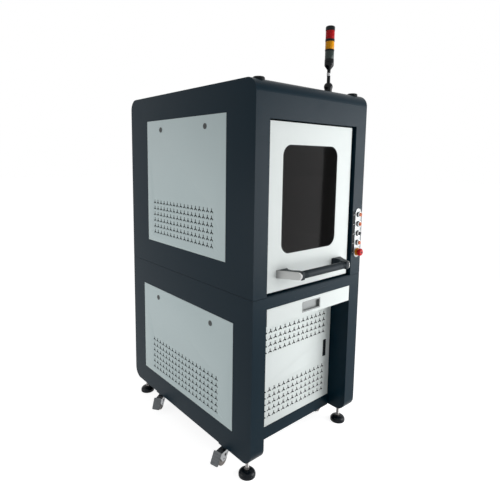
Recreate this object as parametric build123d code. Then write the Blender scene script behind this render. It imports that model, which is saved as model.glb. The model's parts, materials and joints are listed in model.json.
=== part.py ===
from build123d import *
import math
import os

# Enclosed laser marking cabinet. Millimetres, X to the right, Y to the rear, Z up, floor at Z = 0.
os.makedirs("parts", exist_ok=True)

# Cabinet body
BODY_W = 755.0
BODY_D = 1090.0
BODY_H = 1680.0
FLOOR_GAP = 92.0
LOWER_H = 760.0
EDGE_R = 56.0
SKIN = 2.0
JAMB = 80.0
HEADER = 160.0
RETURN_D = 30.0
SEAM_GAP = 1.5
FLANGE_W = 30.0
FLANGE_T = 3.0
PANEL_GAP = 1.5
LANDING_OUT = 10.0
LANDING_IN = 14.0

# Side and rear panels: distances from the cabinets' edges, and of the locks from the panels' edges
UPPER_PANEL_IN = 191.0
UPPER_PANEL_UP = 133.0
UPPER_PANEL_DROP = 130.0
LOWER_PANEL_IN = 131.0
LOWER_PANEL_UP = 109.0
LOWER_PANEL_DROP = 134.0
REAR_PANEL_SIDE = 110.0
UPPER_LOCK_IN = (158.0, 147.0)
UPPER_LOCK_DROP = 50.0
LOWER_LOCK_IN = (171.0, 163.0)
LOWER_LOCK_DROP = 51.0
LOCK_R = 13.5
LOCK_PROUD = 2.5
LOCK_KEY = 8.0
LOCK_KEY_DEPTH = 1.5
LOCK_CHAMFER = 1.0

# Vent fields: least distances of the first and last vent from a sheet's ends, and the first row's height
VENT_PITCH = 33.0
VENT_SIZE = 18.0
PANEL_VENT_ROWS = 6
UPPER_VENT_ENDS = (104.0, 76.0)
UPPER_VENT_UP = 55.0
LOWER_VENT_ENDS = (122.0, 112.0)
LOWER_VENT_UP = 40.5
DOOR_VENT_ENDS = (68.0, 58.0)
DOOR_LOW_VENT_UP = 109.5
DOOR_LOW_VENT_ROWS = 5
DOOR_HIGH_VENT_UP = 439.5
DOOR_HIGH_VENT_ROWS = 4

# Front door, hinged along its top edge
DOOR_RECESS = 16.0
DOOR_SIDE_GAP = 15.0
DOOR_TOP_GAP = 6.0
DOOR_BOTTOM_GAP = 12.0
DOOR_T = 20.0
DOOR_FLANGE = 16.0
WINDOW_W = 376.0
WINDOW_H = 483.0
WINDOW_R = 50.0
WINDOW_SHIFT = -14.0
WINDOW_LIFT = 175.0
PANE_T = 5.0
PANE_LAP = 14.0
PIVOT_BEHIND = 10.0
PIVOT_DROP = 16.0
PIVOT_R = 5.0
RUN_CLEAR = 0.05
BRACKET_T = 7.0
BRACKET_H = 36.0
BRACKET_START = 12.0
BRACKET_END = 96.0

# Gas struts, given from the door pivot: rearwards and upwards
STRUT_IN = 31.5
STRUT_TOP = (50.0, -10.0)
STRUT_FOOT = (36.0, -160.0)
STRUT_PIN_R = 4.0
STRUT_EYE_R = 9.0
STRUT_EYE_T = 8.0
STRUT_TUBE_R = 9.0
STRUT_TUBE_END = 118.0
STRUT_ROD_R = 4.0
STRUT_ROD_START = 34.0
STRUT_BORE_LEAD = 4.0
STRUT_NECK = 8.0
STRUT_PIN_END = 2.0
STUD_GAP = 1.5
STUD_R = 6.0
STUD_PLATE_T = 4.0

# Door handle
HANDLE_UP = 79.0
HANDLE_ROOT = 229.5
HANDLE_TIP = 168.5
HANDLE_ROOT_IN = 156.5
HANDLE_REACH = 102.0
HANDLE_H = 36.0
HANDLE_NOSE = 6.0
ARM_BELLY = 171.0
GRIP_R = 17.5
GRIP_BACK = 81.0
GRIP_END = 147.0
GRIP_RING_T = 2.5
GRIP_RINGS = 4
COVER_T = 3.0

# Leg recess with the lower door
RECESS_D = 113.0
RAIL_T = 30.0
LOWER_RAIL_DROP = 6.0
LOWER_RAIL_TOP = 57.0
CROSS_RAIL_H = 15.0
CROSS_RAIL_GAP = 10.5
HEADER_H = 52.0
LOWER_DOOR_GAP = 3.5
LOWER_DOOR_T = 18.0
LOWER_DOOR_SLIT = 2.5
HINGE_IN = 6.5
HINGE_PIN_R = 4.0
HINGE_PIN_H = 6.0
LATCH_IN = 47.0
LATCH_Z = 341.0
LATCH_W = 27.0
LATCH_H = 97.0
LATCH_DEPTH = 13.0
LATCH_WALL = 1.5
LATCH_SLACK = 1.0
LEVER_T = 8.0
LEVER_PROUD = 1.5
LEVER_PIN_R = 2.0
LEVER_PIN_DROP = 7.0
LEVER_FLAT = 0.4

# Keyboard drawer
DRAWER_H = 78.5
DRAWER_GAP = 1.0
DRAWER_FRONT_T = 16.0
TRAY_ROOM = 13.5
TRAY_DEPTH = 350.0
TRAY_WALL = 2.0
TRAY_H = 42.0
TRAY_LIFT = 3.0
PULL_W = 120.0
PULL_H = 42.0
PULL_DEPTH = 14.0
PULL_X = -2.5
PULL_LIP = 5.0
PULL_WALL = 1.5
PULL_FIT = 0.5
SLIDE_UP = 26.5
SLIDE_LEN = 340.0
SLIDE_WEB = 1.5
SLIDE_GAP = 0.8
SLIDE_LEAD = 4.0
RAIL_HEIGHT = 40.0
MIDDLE_HEIGHT = 30.0
INNER_HEIGHT = 18.0
RAIL_LIP = 7.0
MIDDLE_LIP = 5.0
SUPPORT_END = 380.0

# Push buttons and emergency stop on the right front post, heights above the seam
PLATE_IN = 34.0
PLATE_W = 50.0
PLATE_Z = (93.0, 349.0)
PLATE_T = 3.0
BUTTON_Z = (318.0, 269.0, 220.0, 171.0)
BUTTON_NAMES = ("button_1", "button_2", "button_3", "button_4")
BUTTON_HOLE_R = 11.0
BEZEL_R = 14.5
BEZEL_NECK_R = 13.0
BEZEL_BASE = 6.0
BEZEL_REACH = 12.0
CAP_R = 10.4
CAP_PROUD = 4.0
CAP_STEM_R = 8.0
CAP_CHAMFER = 1.0
BEZEL_BORE_GAP = 0.4
ESTOP_Z = 122.0
ESTOP_R = 20.0
ESTOP_COLLAR_T = 8.0
ESTOP_STEM_R = 8.0
ESTOP_GAP = 6.0
ESTOP_REACH = 30.0
ESTOP_ROUND = 6.0

# Signal tower, heights above the roof
TOWER_IN = 206.0
TOWER_Y = 87.0
TOWER_R = 22.5
TOWER_BALL_R = 21.5
TOWER_BALL_H = 52.0
TOWER_FOOT_R = 20.0
POLE_R = 8.25
POLE_TOP = 110.0
HOUSING_TAPER = 128.0
LENS_R = 21.5
LENS_BANDS = {"green": (158.0, 196.0), "amber": (203.0, 240.0), "red": (251.0, 290.0)}
TOWER_TOP = 312.0
TOWER_BEVEL = 3.0
HOUSING_FOOT = 2.0

# Roof plugs
PLUG_R = 26.0
PLUG_H = 8.0
PLUG_ROUND = 7.0
PLUG_SIDE = 58.0
PLUG_FRONT = 52.0

# Levelling feet
FOOT_SIDE = 42.0
FOOT_FRONT = 68.0
FOOT_R = 40.0
FOOT_EDGE = 9.0
FOOT_H = 30.0
FOOT_SHOULDER = (32.0, 21.6)
FOOT_NECK = 6.0
STEM_R = 8.0
NUT_R = 13.0
NUT_H = 10.0

# Casters: the turn of each is the way that it happens to point at rest
CASTER_SIDE = 28.0
CASTER_FRONT = 208.0
CASTER_REAR = 280.0
CASTER_TURNS = {"fl": 15.0, "fr": 15.0, "rl": 35.0, "rr": 195.0}
CASTER_TRAIL = 38.0
CASTER_LIFT = 2.0
WHEEL_R = 32.0
WHEEL_W = 28.0
WHEEL_EDGE = 3.0
AXLE_R = 5.0
FORK_GAP = 1.5
FORK_T = 3.0
FORK_TOP = 73.0
FORK_CROWN_T = 5.0
FORK_CROWN_R = 22.0
FORK_END = 9.0
FORK_END_DROP = 7.0
FORK_NOSE = 6.0
FORK_LIP = 3.0
FORK_WINDOW = ((-8.0, 61.0), (-36.0, 61.0), (-32.0, 44.0))
AXLE_END = 2.0
SWIVEL_R = 20.0
SWIVEL_GAP = 1.0
CASTER_PLATE = 52.0
CASTER_PLATE_T = 8.0
KINGPIN_R = 6.0
PEDAL_PIVOT = (-64.5, 62.0)
PEDAL_PIN_R = 3.0
PEDAL_BOSS_WALL = 2.5
PEDAL_W = 44.0
PEDAL_T = 4.0
PEDAL_TOP = (-65.5, 83.0)
PEDAL_TIP = (-95.5, 29.0)
PEDAL_CORNER = 6.0
PEDAL_RIBS = 4
PEDAL_RIB_T = 2.5
PEDAL_RIB_INSET = 3.0

# Work chamber
TABLE_W = 440.0
TABLE_D = 460.0
TABLE_T = 25.0
TABLE_FRONT = 250.0
SLOT_PITCH = 110.0
SLOT_COUNT = 3
SLOT_NECK = 10.0
SLOT_HEAD = 18.0
SLOT_HEAD_H = 8.0
SLOT_LIP = 7.0
COLUMN_W = 120.0
COLUMN_D = 90.0
COLUMN_H = 640.0
COLUMN_GAP = 70.0
COLUMN_FOOT_T = 12.0
COLUMN_FOOT_PROUD = 25.0
COLUMN_WALL = 8.0
COLUMN_CAP_T = 12.0
RAIL_W = 20.0
RAIL_PROUD = 15.0
RAIL_SPREAD = 35.0
RAIL_FOOT = 40.0
RAIL_HEAD = 20.0
MOTOR_W = 57.0
MOTOR_H = 76.0
CARRIAGE_H = 150.0
CARRIAGE_T = 14.0
CARRIAGE_LOW = 380.0
CARRIAGE_GAP = 0.6
ARM_W = 90.0
ARM_H = 70.0
ARM_WALL = 4.0
HEAD_W = 120.0
HEAD_D = 130.0
HEAD_H = 120.0
HEAD_CHAMFER = 8.0
LENS_BODY_R = 44.0
LENS_BODY_H = 32.0
LENS_NECK_R = 30.0
LENS_NECK_H = 14.0
LENS_CHAMFER = 4.0
LENS_RECESS = 5.0
LENS_RIM = 12.0

# Units in the lower compartment and the power inlet
SOURCE_SIZE = (330.0, 300.0, 110.0)
SOURCE_Y = 180.0
SOURCE_FINS = 9
FIN_DEPTH = 16.0
FIN_T = 4.0
COMPUTER_SIZE = (430.0, 420.0, 177.0)
COMPUTER_REAR = 60.0
UNIT_WALL = 2.0
FAN_R = 38.0
INLET_W = 62.0
INLET_H = 50.0
INLET_REACH = 10.0
INLET_X = -200.0
INLET_Z = 70.0
INLET_WALL = 5.0
INLET_PIN_R = 2.5
INLET_PINS = ((-10.0, -4.0), (10.0, -4.0), (0.0, 6.0))
INLET_PIN_SHORT = 1.0

# Places that follow from the sizes above
SIDE = BODY_W / 2
FRONT_REACH = HANDLE_REACH - DOOR_RECESS
FRONT = (FRONT_REACH - BODY_D - INLET_REACH) / 2
REAR = FRONT + BODY_D
BASE = FLOOR_GAP
SEAM = BASE + LOWER_H
ROOF = BASE + BODY_H
OPEN_HALF = SIDE - JAMB
OPEN_TOP = ROOF - HEADER
DOOR_FACE = FRONT + DOOR_RECESS
DOOR_BACK = DOOR_FACE + DOOR_T
DOOR_HALF = OPEN_HALF - DOOR_SIDE_GAP
DOOR_LOW = SEAM + DOOR_BOTTOM_GAP
DOOR_HIGH = OPEN_TOP - DOOR_TOP_GAP
PIVOT_Y = DOOR_FACE + PIVOT_BEHIND
PIVOT_Z = OPEN_TOP - PIVOT_DROP
WINDOW_Z = (SEAM + WINDOW_LIFT, SEAM + WINDOW_LIFT + WINDOW_H)
STRUT_X = OPEN_HALF - STRUT_IN
RECESS_BACK = FRONT + RECESS_D
UPPER_PANEL_Y = (UPPER_PANEL_IN, BODY_D - UPPER_PANEL_IN)
UPPER_PANEL_Z = (LOWER_H + UPPER_PANEL_UP, BODY_H - UPPER_PANEL_DROP)
LOWER_PANEL_Y = (LOWER_PANEL_IN, BODY_D - LOWER_PANEL_IN)
LOWER_PANEL_Z = (LOWER_PANEL_UP, LOWER_H - LOWER_PANEL_DROP)
TOP_RAIL_LOW = LOWER_H - HEADER_H
DRAWER_Z = (TOP_RAIL_LOW - DRAWER_GAP - DRAWER_H, TOP_RAIL_LOW - DRAWER_GAP)
CROSS_RAIL_Z = (DRAWER_Z[0] - CROSS_RAIL_GAP - CROSS_RAIL_H, DRAWER_Z[0] - CROSS_RAIL_GAP)
SLIDE_Z = DRAWER_Z[0] + SLIDE_UP
TRAY_HALF = OPEN_HALF - TRAY_ROOM
LATCH_X = OPEN_HALF - LATCH_IN
PLATE_X = SIDE - PLATE_IN
TOWER_X = SIDE - TOWER_IN
COLUMN_Y = TABLE_FRONT + TABLE_D + COLUMN_GAP
HEAD_Y = TABLE_FRONT + TABLE_D / 2
COMPUTER_Y = BODY_D - COMPUTER_REAR - COMPUTER_SIZE[1]


def block(x_limits, y_limits, z_limits):
    """Box between the given limits, each a (low, high) pair."""
    limits = (x_limits, y_limits, z_limits)
    centre = [(low + high) / 2 for low, high in limits]
    size = [high - low for low, high in limits]
    return Pos(*centre) * Box(*size)


def span(start, limits):
    """Limits given from a start, as absolute limits."""
    return (start + limits[0], start + limits[1])


def grown(limits, margin):
    """Limits with the margin added at both ends."""
    return (limits[0] - margin, limits[1] + margin)


def rod_x(x_limits, y, z, radius):
    """Round bar along X between two limits."""
    length = x_limits[1] - x_limits[0]
    return Pos((x_limits[0] + x_limits[1]) / 2, y, z) * Rot(0, 90, 0) * Cylinder(radius, length)


def rod_y(x, y_limits, z, radius):
    """Round bar along Y between two limits."""
    length = y_limits[1] - y_limits[0]
    return Pos(x, (y_limits[0] + y_limits[1]) / 2, z) * Rot(90, 0, 0) * Cylinder(radius, length)


def rod_z(x, y, z_limits, radius):
    """Round bar along Z between two limits."""
    length = z_limits[1] - z_limits[0]
    return Pos(x, y, (z_limits[0] + z_limits[1]) / 2) * Cylinder(radius, length)


def save(node, shapes):
    """Write one sub-part, given as a solid or a list of separate solids."""
    solids = []
    for shape in shapes if isinstance(shapes, list) else [shapes]:
        solids.extend(shape.solids())
    whole = solids[0] if len(solids) == 1 else Compound(children=solids)
    export_step(whole, f"parts/{node}.step")


def case(inset, z_limits, rounded_row):
    """Body block, inset on four sides, with its X edges rounded in the top (-1) or bottom (0) row."""
    x_limits = (-SIDE + inset, SIDE - inset)
    solid = block(x_limits, (FRONT + inset, REAR - inset), z_limits)
    edges = solid.edges().filter_by(Axis.X).group_by(Axis.Z)[rounded_row]
    return fillet(edges, EDGE_R - inset)


def vent_wires(limits, ends, up_start, rows, place):
    """Triangular vent outlines that fill a sheet between its end margins, placed by (across, up)."""
    half = VENT_SIZE / 2
    rise = VENT_SIZE * math.sqrt(3) / 2
    columns = int((limits[1] - limits[0] - ends[0] - ends[1]) / VENT_PITCH) + 1
    wires = []
    for column in range(columns):
        for row in range(rows):
            across = limits[0] + ends[0] + column * VENT_PITCH
            up = up_start + row * VENT_PITCH
            corners = [
                (across - half, up - rise / 3),
                (across + half, up - rise / 3),
                (across, up + rise * 2 / 3),
            ]
            wires.append(Wire.make_polygon([place(*corner) for corner in corners]))
    return wires


def vented_sheet(across_limits, up_limits, wires, place, thickness):
    """Flat sheet with the vent outlines cut through it, extruded by the vector thickness."""
    corners = [
        (across_limits[0], up_limits[0]),
        (across_limits[1], up_limits[0]),
        (across_limits[1], up_limits[1]),
        (across_limits[0], up_limits[1]),
    ]
    outline = Wire.make_polygon([place(*corner) for corner in corners])
    return extrude(Face(outline, wires), thickness.length, dir=thickness)


def side_sheet(side, outline, y_limits, z_limits):
    """Side sheet cut from an outline block, with its panel opening and the landing ring behind it."""
    sheet_x = sorted((side * (SIDE - SKIN), side * SIDE))
    ring_x = sorted((side * (SIDE - 2 * SKIN), side * (SIDE - SKIN)))
    hole_y = grown(span(FRONT, y_limits), PANEL_GAP)
    hole_z = grown(span(BASE, z_limits), PANEL_GAP)
    sheet = outline & block(sheet_x, (FRONT, REAR), (BASE, ROOF))
    sheet -= block(grown(sheet_x, 1), hole_y, hole_z)
    ring = block(ring_x, grown(hole_y, LANDING_OUT), grown(hole_z, LANDING_OUT))
    ring -= block(grown(ring_x, 1), grown(hole_y, -LANDING_IN), grown(hole_z, -LANDING_IN))
    return sheet + ring


def rear_sheet(wrap, frame_z, panel_z):
    """Flat rear part of a wrap, with its panel opening and the landing ring inside it."""
    hole_x = grown((-SIDE + REAR_PANEL_SIDE, SIDE - REAR_PANEL_SIDE), PANEL_GAP)
    hole_z = grown(span(BASE, panel_z), PANEL_GAP)
    sheet_y = (REAR - SKIN, REAR)
    ring_y = (REAR - 2 * SKIN, REAR - SKIN)
    sheet = wrap & block((-SIDE, SIDE), sheet_y, frame_z)
    sheet -= block(hole_x, grown(sheet_y, 1), hole_z)
    ring = block(grown(hole_x, LANDING_OUT), ring_y, grown(hole_z, LANDING_OUT))
    ring -= block(grown(hole_x, -LANDING_IN), grown(ring_y, 1), grown(hole_z, -LANDING_IN))
    return sheet + ring


# Upper cabinet: flat sides, front frame, roof and rear welded edge to edge, foot flange, door brackets
def build_upper_cabinet():
    low = SEAM + SEAM_GAP
    arc = ROOF - EDGE_R
    outline = case(0, (low, ROOF), -1)
    inner_x = (-SIDE + SKIN, SIDE - SKIN)
    inner_y = (FRONT + SKIN, REAR - SKIN)
    wrap = outline - case(SKIN, (low - 1, ROOF - SKIN), -1)
    wrap &= block(inner_x, (FRONT, REAR), (low, ROOF))
    sides = [side_sheet(side, outline, UPPER_PANEL_Y, UPPER_PANEL_Z) for side in (-1, 1)]
    roof = wrap & block(inner_x, (FRONT, REAR), (arc, ROOF))
    rear = rear_sheet(wrap, (low, arc), UPPER_PANEL_Z)
    flange_z = (SEAM, SEAM + FLANGE_T)
    flange = block(inner_x, inner_y, flange_z)
    flange -= block(grown(inner_x, -FLANGE_W), grown(inner_y, -FLANGE_W), grown(flange_z, 1))
    return [*sides, build_front_frame(wrap, low, arc), roof, rear, flange, *build_door_brackets()]


def build_front_frame(wrap, low, high):
    """Front sheet of the upper cabinet, with the door opening, its returns and the button holes."""
    front = wrap & block((-SIDE, SIDE), (FRONT, FRONT + SKIN), (low, high))
    front -= block((-OPEN_HALF, OPEN_HALF), (FRONT - 1, FRONT + SKIN + 1), (SEAM - 1, OPEN_TOP))
    return_y = (FRONT, FRONT + RETURN_D)
    for side in (-1, 1):
        return_x = sorted((side * OPEN_HALF, side * (OPEN_HALF + SKIN)))
        front += block(return_x, return_y, (SEAM + FLANGE_T, OPEN_TOP + SKIN))
    front += block((-OPEN_HALF, OPEN_HALF), return_y, (OPEN_TOP, OPEN_TOP + SKIN))
    for z in (*BUTTON_Z, ESTOP_Z):
        front -= rod_y(PLATE_X, (FRONT - 1, FRONT + SKIN + 1), SEAM + z, BUTTON_HOLE_R)
    return front


def build_door_brackets():
    """Plates bolted in the top corners of the door opening: door pivot bore and strut pin."""
    brackets = []
    for side in (-1, 1):
        plate_x = sorted((side * (OPEN_HALF - BRACKET_T), side * OPEN_HALF))
        plate_y = (FRONT + BRACKET_START, FRONT + BRACKET_END)
        plate = block(plate_x, plate_y, (OPEN_TOP - BRACKET_H, OPEN_TOP))
        plate -= rod_x(grown(plate_x, 1), PIVOT_Y, PIVOT_Z, PIVOT_R + RUN_CLEAR)
        pin_end = STRUT_X - STRUT_EYE_T / 2 - STRUT_PIN_END
        pin_x = sorted((side * (OPEN_HALF - BRACKET_T), side * pin_end))
        pin_y = PIVOT_Y + STRUT_TOP[0]
        plate += rod_x(pin_x, pin_y, PIVOT_Z + STRUT_TOP[1], STRUT_PIN_R)
        brackets.append(plate)
    return brackets


# Lower cabinet: flat sides, front posts with the leg recess, header, floor, rear, deck and two rails
def build_lower_cabinet():
    top = BASE + TOP_RAIL_LOW
    arc = BASE + EDGE_R
    outline = case(0, (BASE, SEAM), 0)
    inner_x = (-SIDE + SKIN, SIDE - SKIN)
    inner_y = (FRONT + SKIN, REAR - SKIN)
    wrap = outline - case(SKIN, (BASE + SKIN, SEAM + 1), 0)
    wrap &= block(inner_x, (FRONT, REAR), (BASE, SEAM))
    sides = [side_sheet(side, outline, LOWER_PANEL_Y, LOWER_PANEL_Z) for side in (-1, 1)]
    posts = [build_front_post(side, wrap, outline, top) for side in (-1, 1)]
    header = wrap & block(inner_x, (FRONT, FRONT + SKIN), (top, SEAM))
    header_x = (-OPEN_HALF - SKIN, OPEN_HALF + SKIN)
    header += block(header_x, (FRONT, FRONT + RETURN_D), (top, top + SKIN))
    rear = rear_sheet(wrap, (arc, SEAM), LOWER_PANEL_Z)
    deck = block(inner_x, inner_y, (SEAM - SKIN, SEAM))
    rail_y = (RECESS_BACK, RECESS_BACK + RAIL_T)
    lower_z = (BASE - LOWER_RAIL_DROP, BASE + LOWER_RAIL_TOP)
    floor = wrap & block(inner_x, (RECESS_BACK, REAR), (BASE, arc))
    floor -= block((-OPEN_HALF - SKIN, OPEN_HALF + SKIN), rail_y, lower_z)
    rails = []
    for rail_z, hole_z in ((lower_z, lower_z[1]), (span(BASE, CROSS_RAIL_Z), BASE + CROSS_RAIL_Z[0])):
        rail = tube_rail(rail_y, rail_z)
        rails.append(rail - lower_hinge_pin((hole_z - SKIN - 1, hole_z + SKIN + 1), RUN_CLEAR))
    return [*sides, *posts, header, rear, deck, floor, *rails]


def build_front_post(side, wrap, outline, top):
    """Front post of the lower cabinet with the side wall of the leg recess and the drawer support."""
    post_x = sorted((side * OPEN_HALF, side * (SIDE - SKIN)))
    wall_x = sorted((side * OPEN_HALF, side * (OPEN_HALF + SKIN)))
    post = wrap & block(post_x, (FRONT, RECESS_BACK), (BASE, top))
    post += block(wall_x, (FRONT, RECESS_BACK + RAIL_T), (BASE, top)) & outline
    return post + block(wall_x, (RECESS_BACK, FRONT + SUPPORT_END), (BASE + CROSS_RAIL_Z[0], top))


def lower_hinge_pin(z_limits, clearance):
    """Pin of the lower door's hinge, or the hole that it turns in, between two heights."""
    x = -OPEN_HALF + LOWER_DOOR_GAP + HINGE_IN
    return rod_z(x, RECESS_BACK + HINGE_IN, z_limits, HINGE_PIN_R + clearance)


def tube_rail(y_limits, z_limits):
    """Rectangular tube across the recess, open at its ends against the recess walls."""
    rail = block((-OPEN_HALF, OPEN_HALF), y_limits, z_limits)
    return rail - block((-OPEN_HALF, OPEN_HALF), grown(y_limits, -SKIN), grown(z_limits, -SKIN))


# Side panels, rear panels and quarter-turn locks
def side_panel(side, y_limits, z_limits, vent_ends, vent_up):
    """Vented flush sheet on one side, -1 left or 1 right."""
    x = side * (SIDE - SKIN)

    def place(across, up):
        return (x, FRONT + across, BASE + up)

    wires = vent_wires(y_limits, vent_ends, z_limits[0] + vent_up, PANEL_VENT_ROWS, place)
    return vented_sheet(y_limits, z_limits, wires, place, Vector(side * SKIN, 0, 0))


def build_panels():
    for name, side in (("left", -1), ("right", 1)):
        upper = side_panel(side, UPPER_PANEL_Y, UPPER_PANEL_Z, UPPER_VENT_ENDS, UPPER_VENT_UP)
        save(f"{name}_upper_panel", upper)
        lower = side_panel(side, LOWER_PANEL_Y, LOWER_PANEL_Z, LOWER_VENT_ENDS, LOWER_VENT_UP)
        save(f"{name}_lower_panel", lower)
    rear_x = (-SIDE + REAR_PANEL_SIDE, SIDE - REAR_PANEL_SIDE)
    rear_y = (REAR - SKIN, REAR)
    save("rear_panels", [block(rear_x, rear_y, span(BASE, z)) for z in (UPPER_PANEL_Z, LOWER_PANEL_Z)])


def panel_lock(side, y, z):
    """Round lock head with a triangular key hole, its axis along X."""
    outer = side * (SIDE + LOCK_PROUD)
    head = rod_x(sorted((side * SIDE, outer)), FRONT + y, BASE + z, LOCK_R)
    rim = head.edges().filter_by(GeomType.CIRCLE).sort_by(Axis.X)[-1 if side > 0 else 0]
    head = chamfer(rim, LOCK_CHAMFER)
    key = extrude(RegularPolygon(LOCK_KEY / 2, 3), LOCK_KEY_DEPTH, both=True)
    return head - Pos(outer, FRONT + y, BASE + z) * Rot(0, 90, 0) * key


def build_locks():
    fields = (
        (UPPER_PANEL_Y, UPPER_PANEL_Z, UPPER_LOCK_IN, UPPER_LOCK_DROP),
        (LOWER_PANEL_Y, LOWER_PANEL_Z, LOWER_LOCK_IN, LOWER_LOCK_DROP),
    )
    locks = []
    for side in (-1, 1):
        for panel_y, panel_z, inset, drop in fields:
            for y in (panel_y[0] + inset[0], panel_y[1] - inset[1]):
                locks.append(panel_lock(side, y, panel_z[1] - drop))
    return locks


# Front door: folded pan with a window, pivot pins and strut studs
def window_opening(y_limits, margin):
    """Window outline as a solid, with a margin all round."""
    width = WINDOW_W + 2 * margin
    height = WINDOW_H + 2 * margin
    outline = RectangleRounded(width, height, WINDOW_R + margin)
    depth = y_limits[1] - y_limits[0]
    place = Pos(WINDOW_SHIFT, y_limits[0], (WINDOW_Z[0] + WINDOW_Z[1]) / 2) * Rot(90, 0, 0)
    return place * extrude(outline, -depth)


def pan(x_limits, y_limits, z_limits, flange):
    """Folded sheet pan, open to the rear, with returns and an inner flange."""
    sheet = block(x_limits, y_limits, z_limits)
    hollow_y = (y_limits[0] + SKIN, y_limits[1] - SKIN)
    sheet -= block(grown(x_limits, -SKIN), hollow_y, grown(z_limits, -SKIN))
    rear_y = (y_limits[1] - SKIN - 1, y_limits[1] + 1)
    return sheet - block(grown(x_limits, -flange), rear_y, grown(z_limits, -flange))


def build_front_door():
    door_y = (DOOR_FACE, DOOR_BACK)
    door = pan((-DOOR_HALF, DOOR_HALF), door_y, (DOOR_LOW, DOOR_HIGH), DOOR_FLANGE)
    door -= window_opening((DOOR_FACE - 1, DOOR_FACE + SKIN + 1), 0)
    stud_y = PIVOT_Y + STRUT_FOOT[0]
    stud_z = PIVOT_Z + STRUT_FOOT[1]
    for side in (-1, 1):
        pin_x = sorted((side * (DOOR_HALF - SKIN), side * (OPEN_HALF - 1)))
        door += rod_x(pin_x, PIVOT_Y, PIVOT_Z, PIVOT_R)
        stud_near = STRUT_X + STRUT_EYE_T / 2 + STUD_GAP
        stud_x = sorted((side * stud_near, side * (DOOR_HALF - STUD_PLATE_T)))
        plate_x = sorted((side * (DOOR_HALF - STUD_PLATE_T), side * DOOR_HALF))
        plate_y = (DOOR_BACK - SKIN, stud_y + STUD_R)
        door += block(plate_x, plate_y, (stud_z - 2 * STUD_R, stud_z + 2 * STUD_R))
        door += rod_x(stud_x, stud_y, stud_z, STUD_R)
    return door


def build_door_window():
    pane_y = (DOOR_FACE + SKIN, DOOR_FACE + SKIN + PANE_T)
    return window_opening(pane_y, PANE_LAP)


# Gas struts, one on each side
def strut_direction():
    """Unit vector from the strut's cabinet end to its door end, and its closed length."""
    reach = Vector(0, STRUT_FOOT[0] - STRUT_TOP[0], STRUT_FOOT[1] - STRUT_TOP[1])
    return reach.normalized(), reach.length


def strut_place(side):
    """Frame at the cabinet end, with its Z axis along the strut and its X axis along the pins."""
    direction = strut_direction()[0]
    origin = (side * STRUT_X, PIVOT_Y + STRUT_TOP[0], PIVOT_Z + STRUT_TOP[1])
    return Location(Plane(origin=origin, x_dir=(1, 0, 0), z_dir=direction))


def build_struts():
    length = strut_direction()[1]
    bore_start = STRUT_ROD_START - STRUT_BORE_LEAD
    cylinder = rod_x((-STRUT_EYE_T / 2, STRUT_EYE_T / 2), 0, 0, STRUT_EYE_R)
    cylinder += rod_z(0, 0, (STRUT_EYE_R - 1, STRUT_TUBE_END), STRUT_TUBE_R)
    cylinder += block((-STRUT_EYE_T / 2, STRUT_EYE_T / 2), (-STRUT_NECK / 2, STRUT_NECK / 2), (0, STRUT_EYE_R))
    cylinder -= rod_x((-STRUT_EYE_T, STRUT_EYE_T), 0, 0, STRUT_PIN_R + RUN_CLEAR)
    cylinder -= rod_z(0, 0, (bore_start, STRUT_TUBE_END + 1), STRUT_ROD_R + RUN_CLEAR)
    rod = rod_z(0, 0, (STRUT_ROD_START, length - STRUT_PIN_END), STRUT_ROD_R)
    rod += rod_x((-STRUT_EYE_T / 2, STRUT_EYE_T / 2), 0, length, STRUT_EYE_R - 1)
    for name, side in (("left", -1), ("right", 1)):
        save(f"strut_cylinder_{name}", strut_place(side) * cylinder)
        save(f"strut_rod_{name}", strut_place(side) * rod)


# Door handle: two raked arms, two end covers and a round grip
def handle_rake(side):
    """Outer corners of a cover seen from above, at the door and at the tip, and the way inwards."""
    root = Vector(side * HANDLE_ROOT, DOOR_FACE)
    tip = Vector(side * HANDLE_TIP, DOOR_FACE - HANDLE_REACH)
    rake = (tip - root).normalized()
    return root, tip, Vector(-side * abs(rake.Y), abs(rake.X))


def handle_arm(side):
    """Arm with a straight raked outer face and a hollowed inner face, seen from above."""
    root, tip, inwards = handle_rake(side)
    tip += inwards * COVER_T
    root = (root.X + inwards.X * COVER_T / inwards.X ** 2, DOOR_FACE)
    grip_front = DOOR_FACE - GRIP_BACK - GRIP_R
    grip_rear = DOOR_FACE - GRIP_BACK + GRIP_R
    nose = (side * (HANDLE_TIP - HANDLE_NOSE), grip_front)
    belly = (side * ARM_BELLY, (DOOR_FACE + grip_rear) / 2)
    rear_end = (side * GRIP_END, grip_rear)
    inner_root = (side * HANDLE_ROOT_IN, DOOR_FACE)
    outline = Polyline(root, (tip.X, tip.Y), nose, (side * GRIP_END, grip_front), rear_end)
    outline += ThreePointArc(rear_end, belly, inner_root)
    outline += Line(inner_root, root)
    arm = extrude(make_face(outline), HANDLE_H / 2, both=True)
    return Pos(0, 0, SEAM + DOOR_BOTTOM_GAP + HANDLE_UP) * arm


def handle_cover(side):
    """Bright plate on the raked face, square at the door and round at the tip."""
    root, tip, inwards = handle_rake(side)
    rake = tip - root
    radius = HANDLE_H / 2
    straight = rake.length - radius
    shape = Pos((straight - HANDLE_H) / 2, 0) * Rectangle(straight + HANDLE_H, HANDLE_H)
    shape += Pos(straight, 0) * Circle(radius)
    origin = (root.X, root.Y, SEAM + DOOR_BOTTOM_GAP + HANDLE_UP)
    plane = Plane(origin=origin, x_dir=(rake.X, rake.Y, 0), z_dir=(inwards.X, inwards.Y, 0))
    cover = plane * extrude(shape, COVER_T)
    return cover - block((-SIDE, SIDE), (DOOR_FACE, DOOR_FACE + 2 * HANDLE_H), (SEAM, ROOF))


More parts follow.
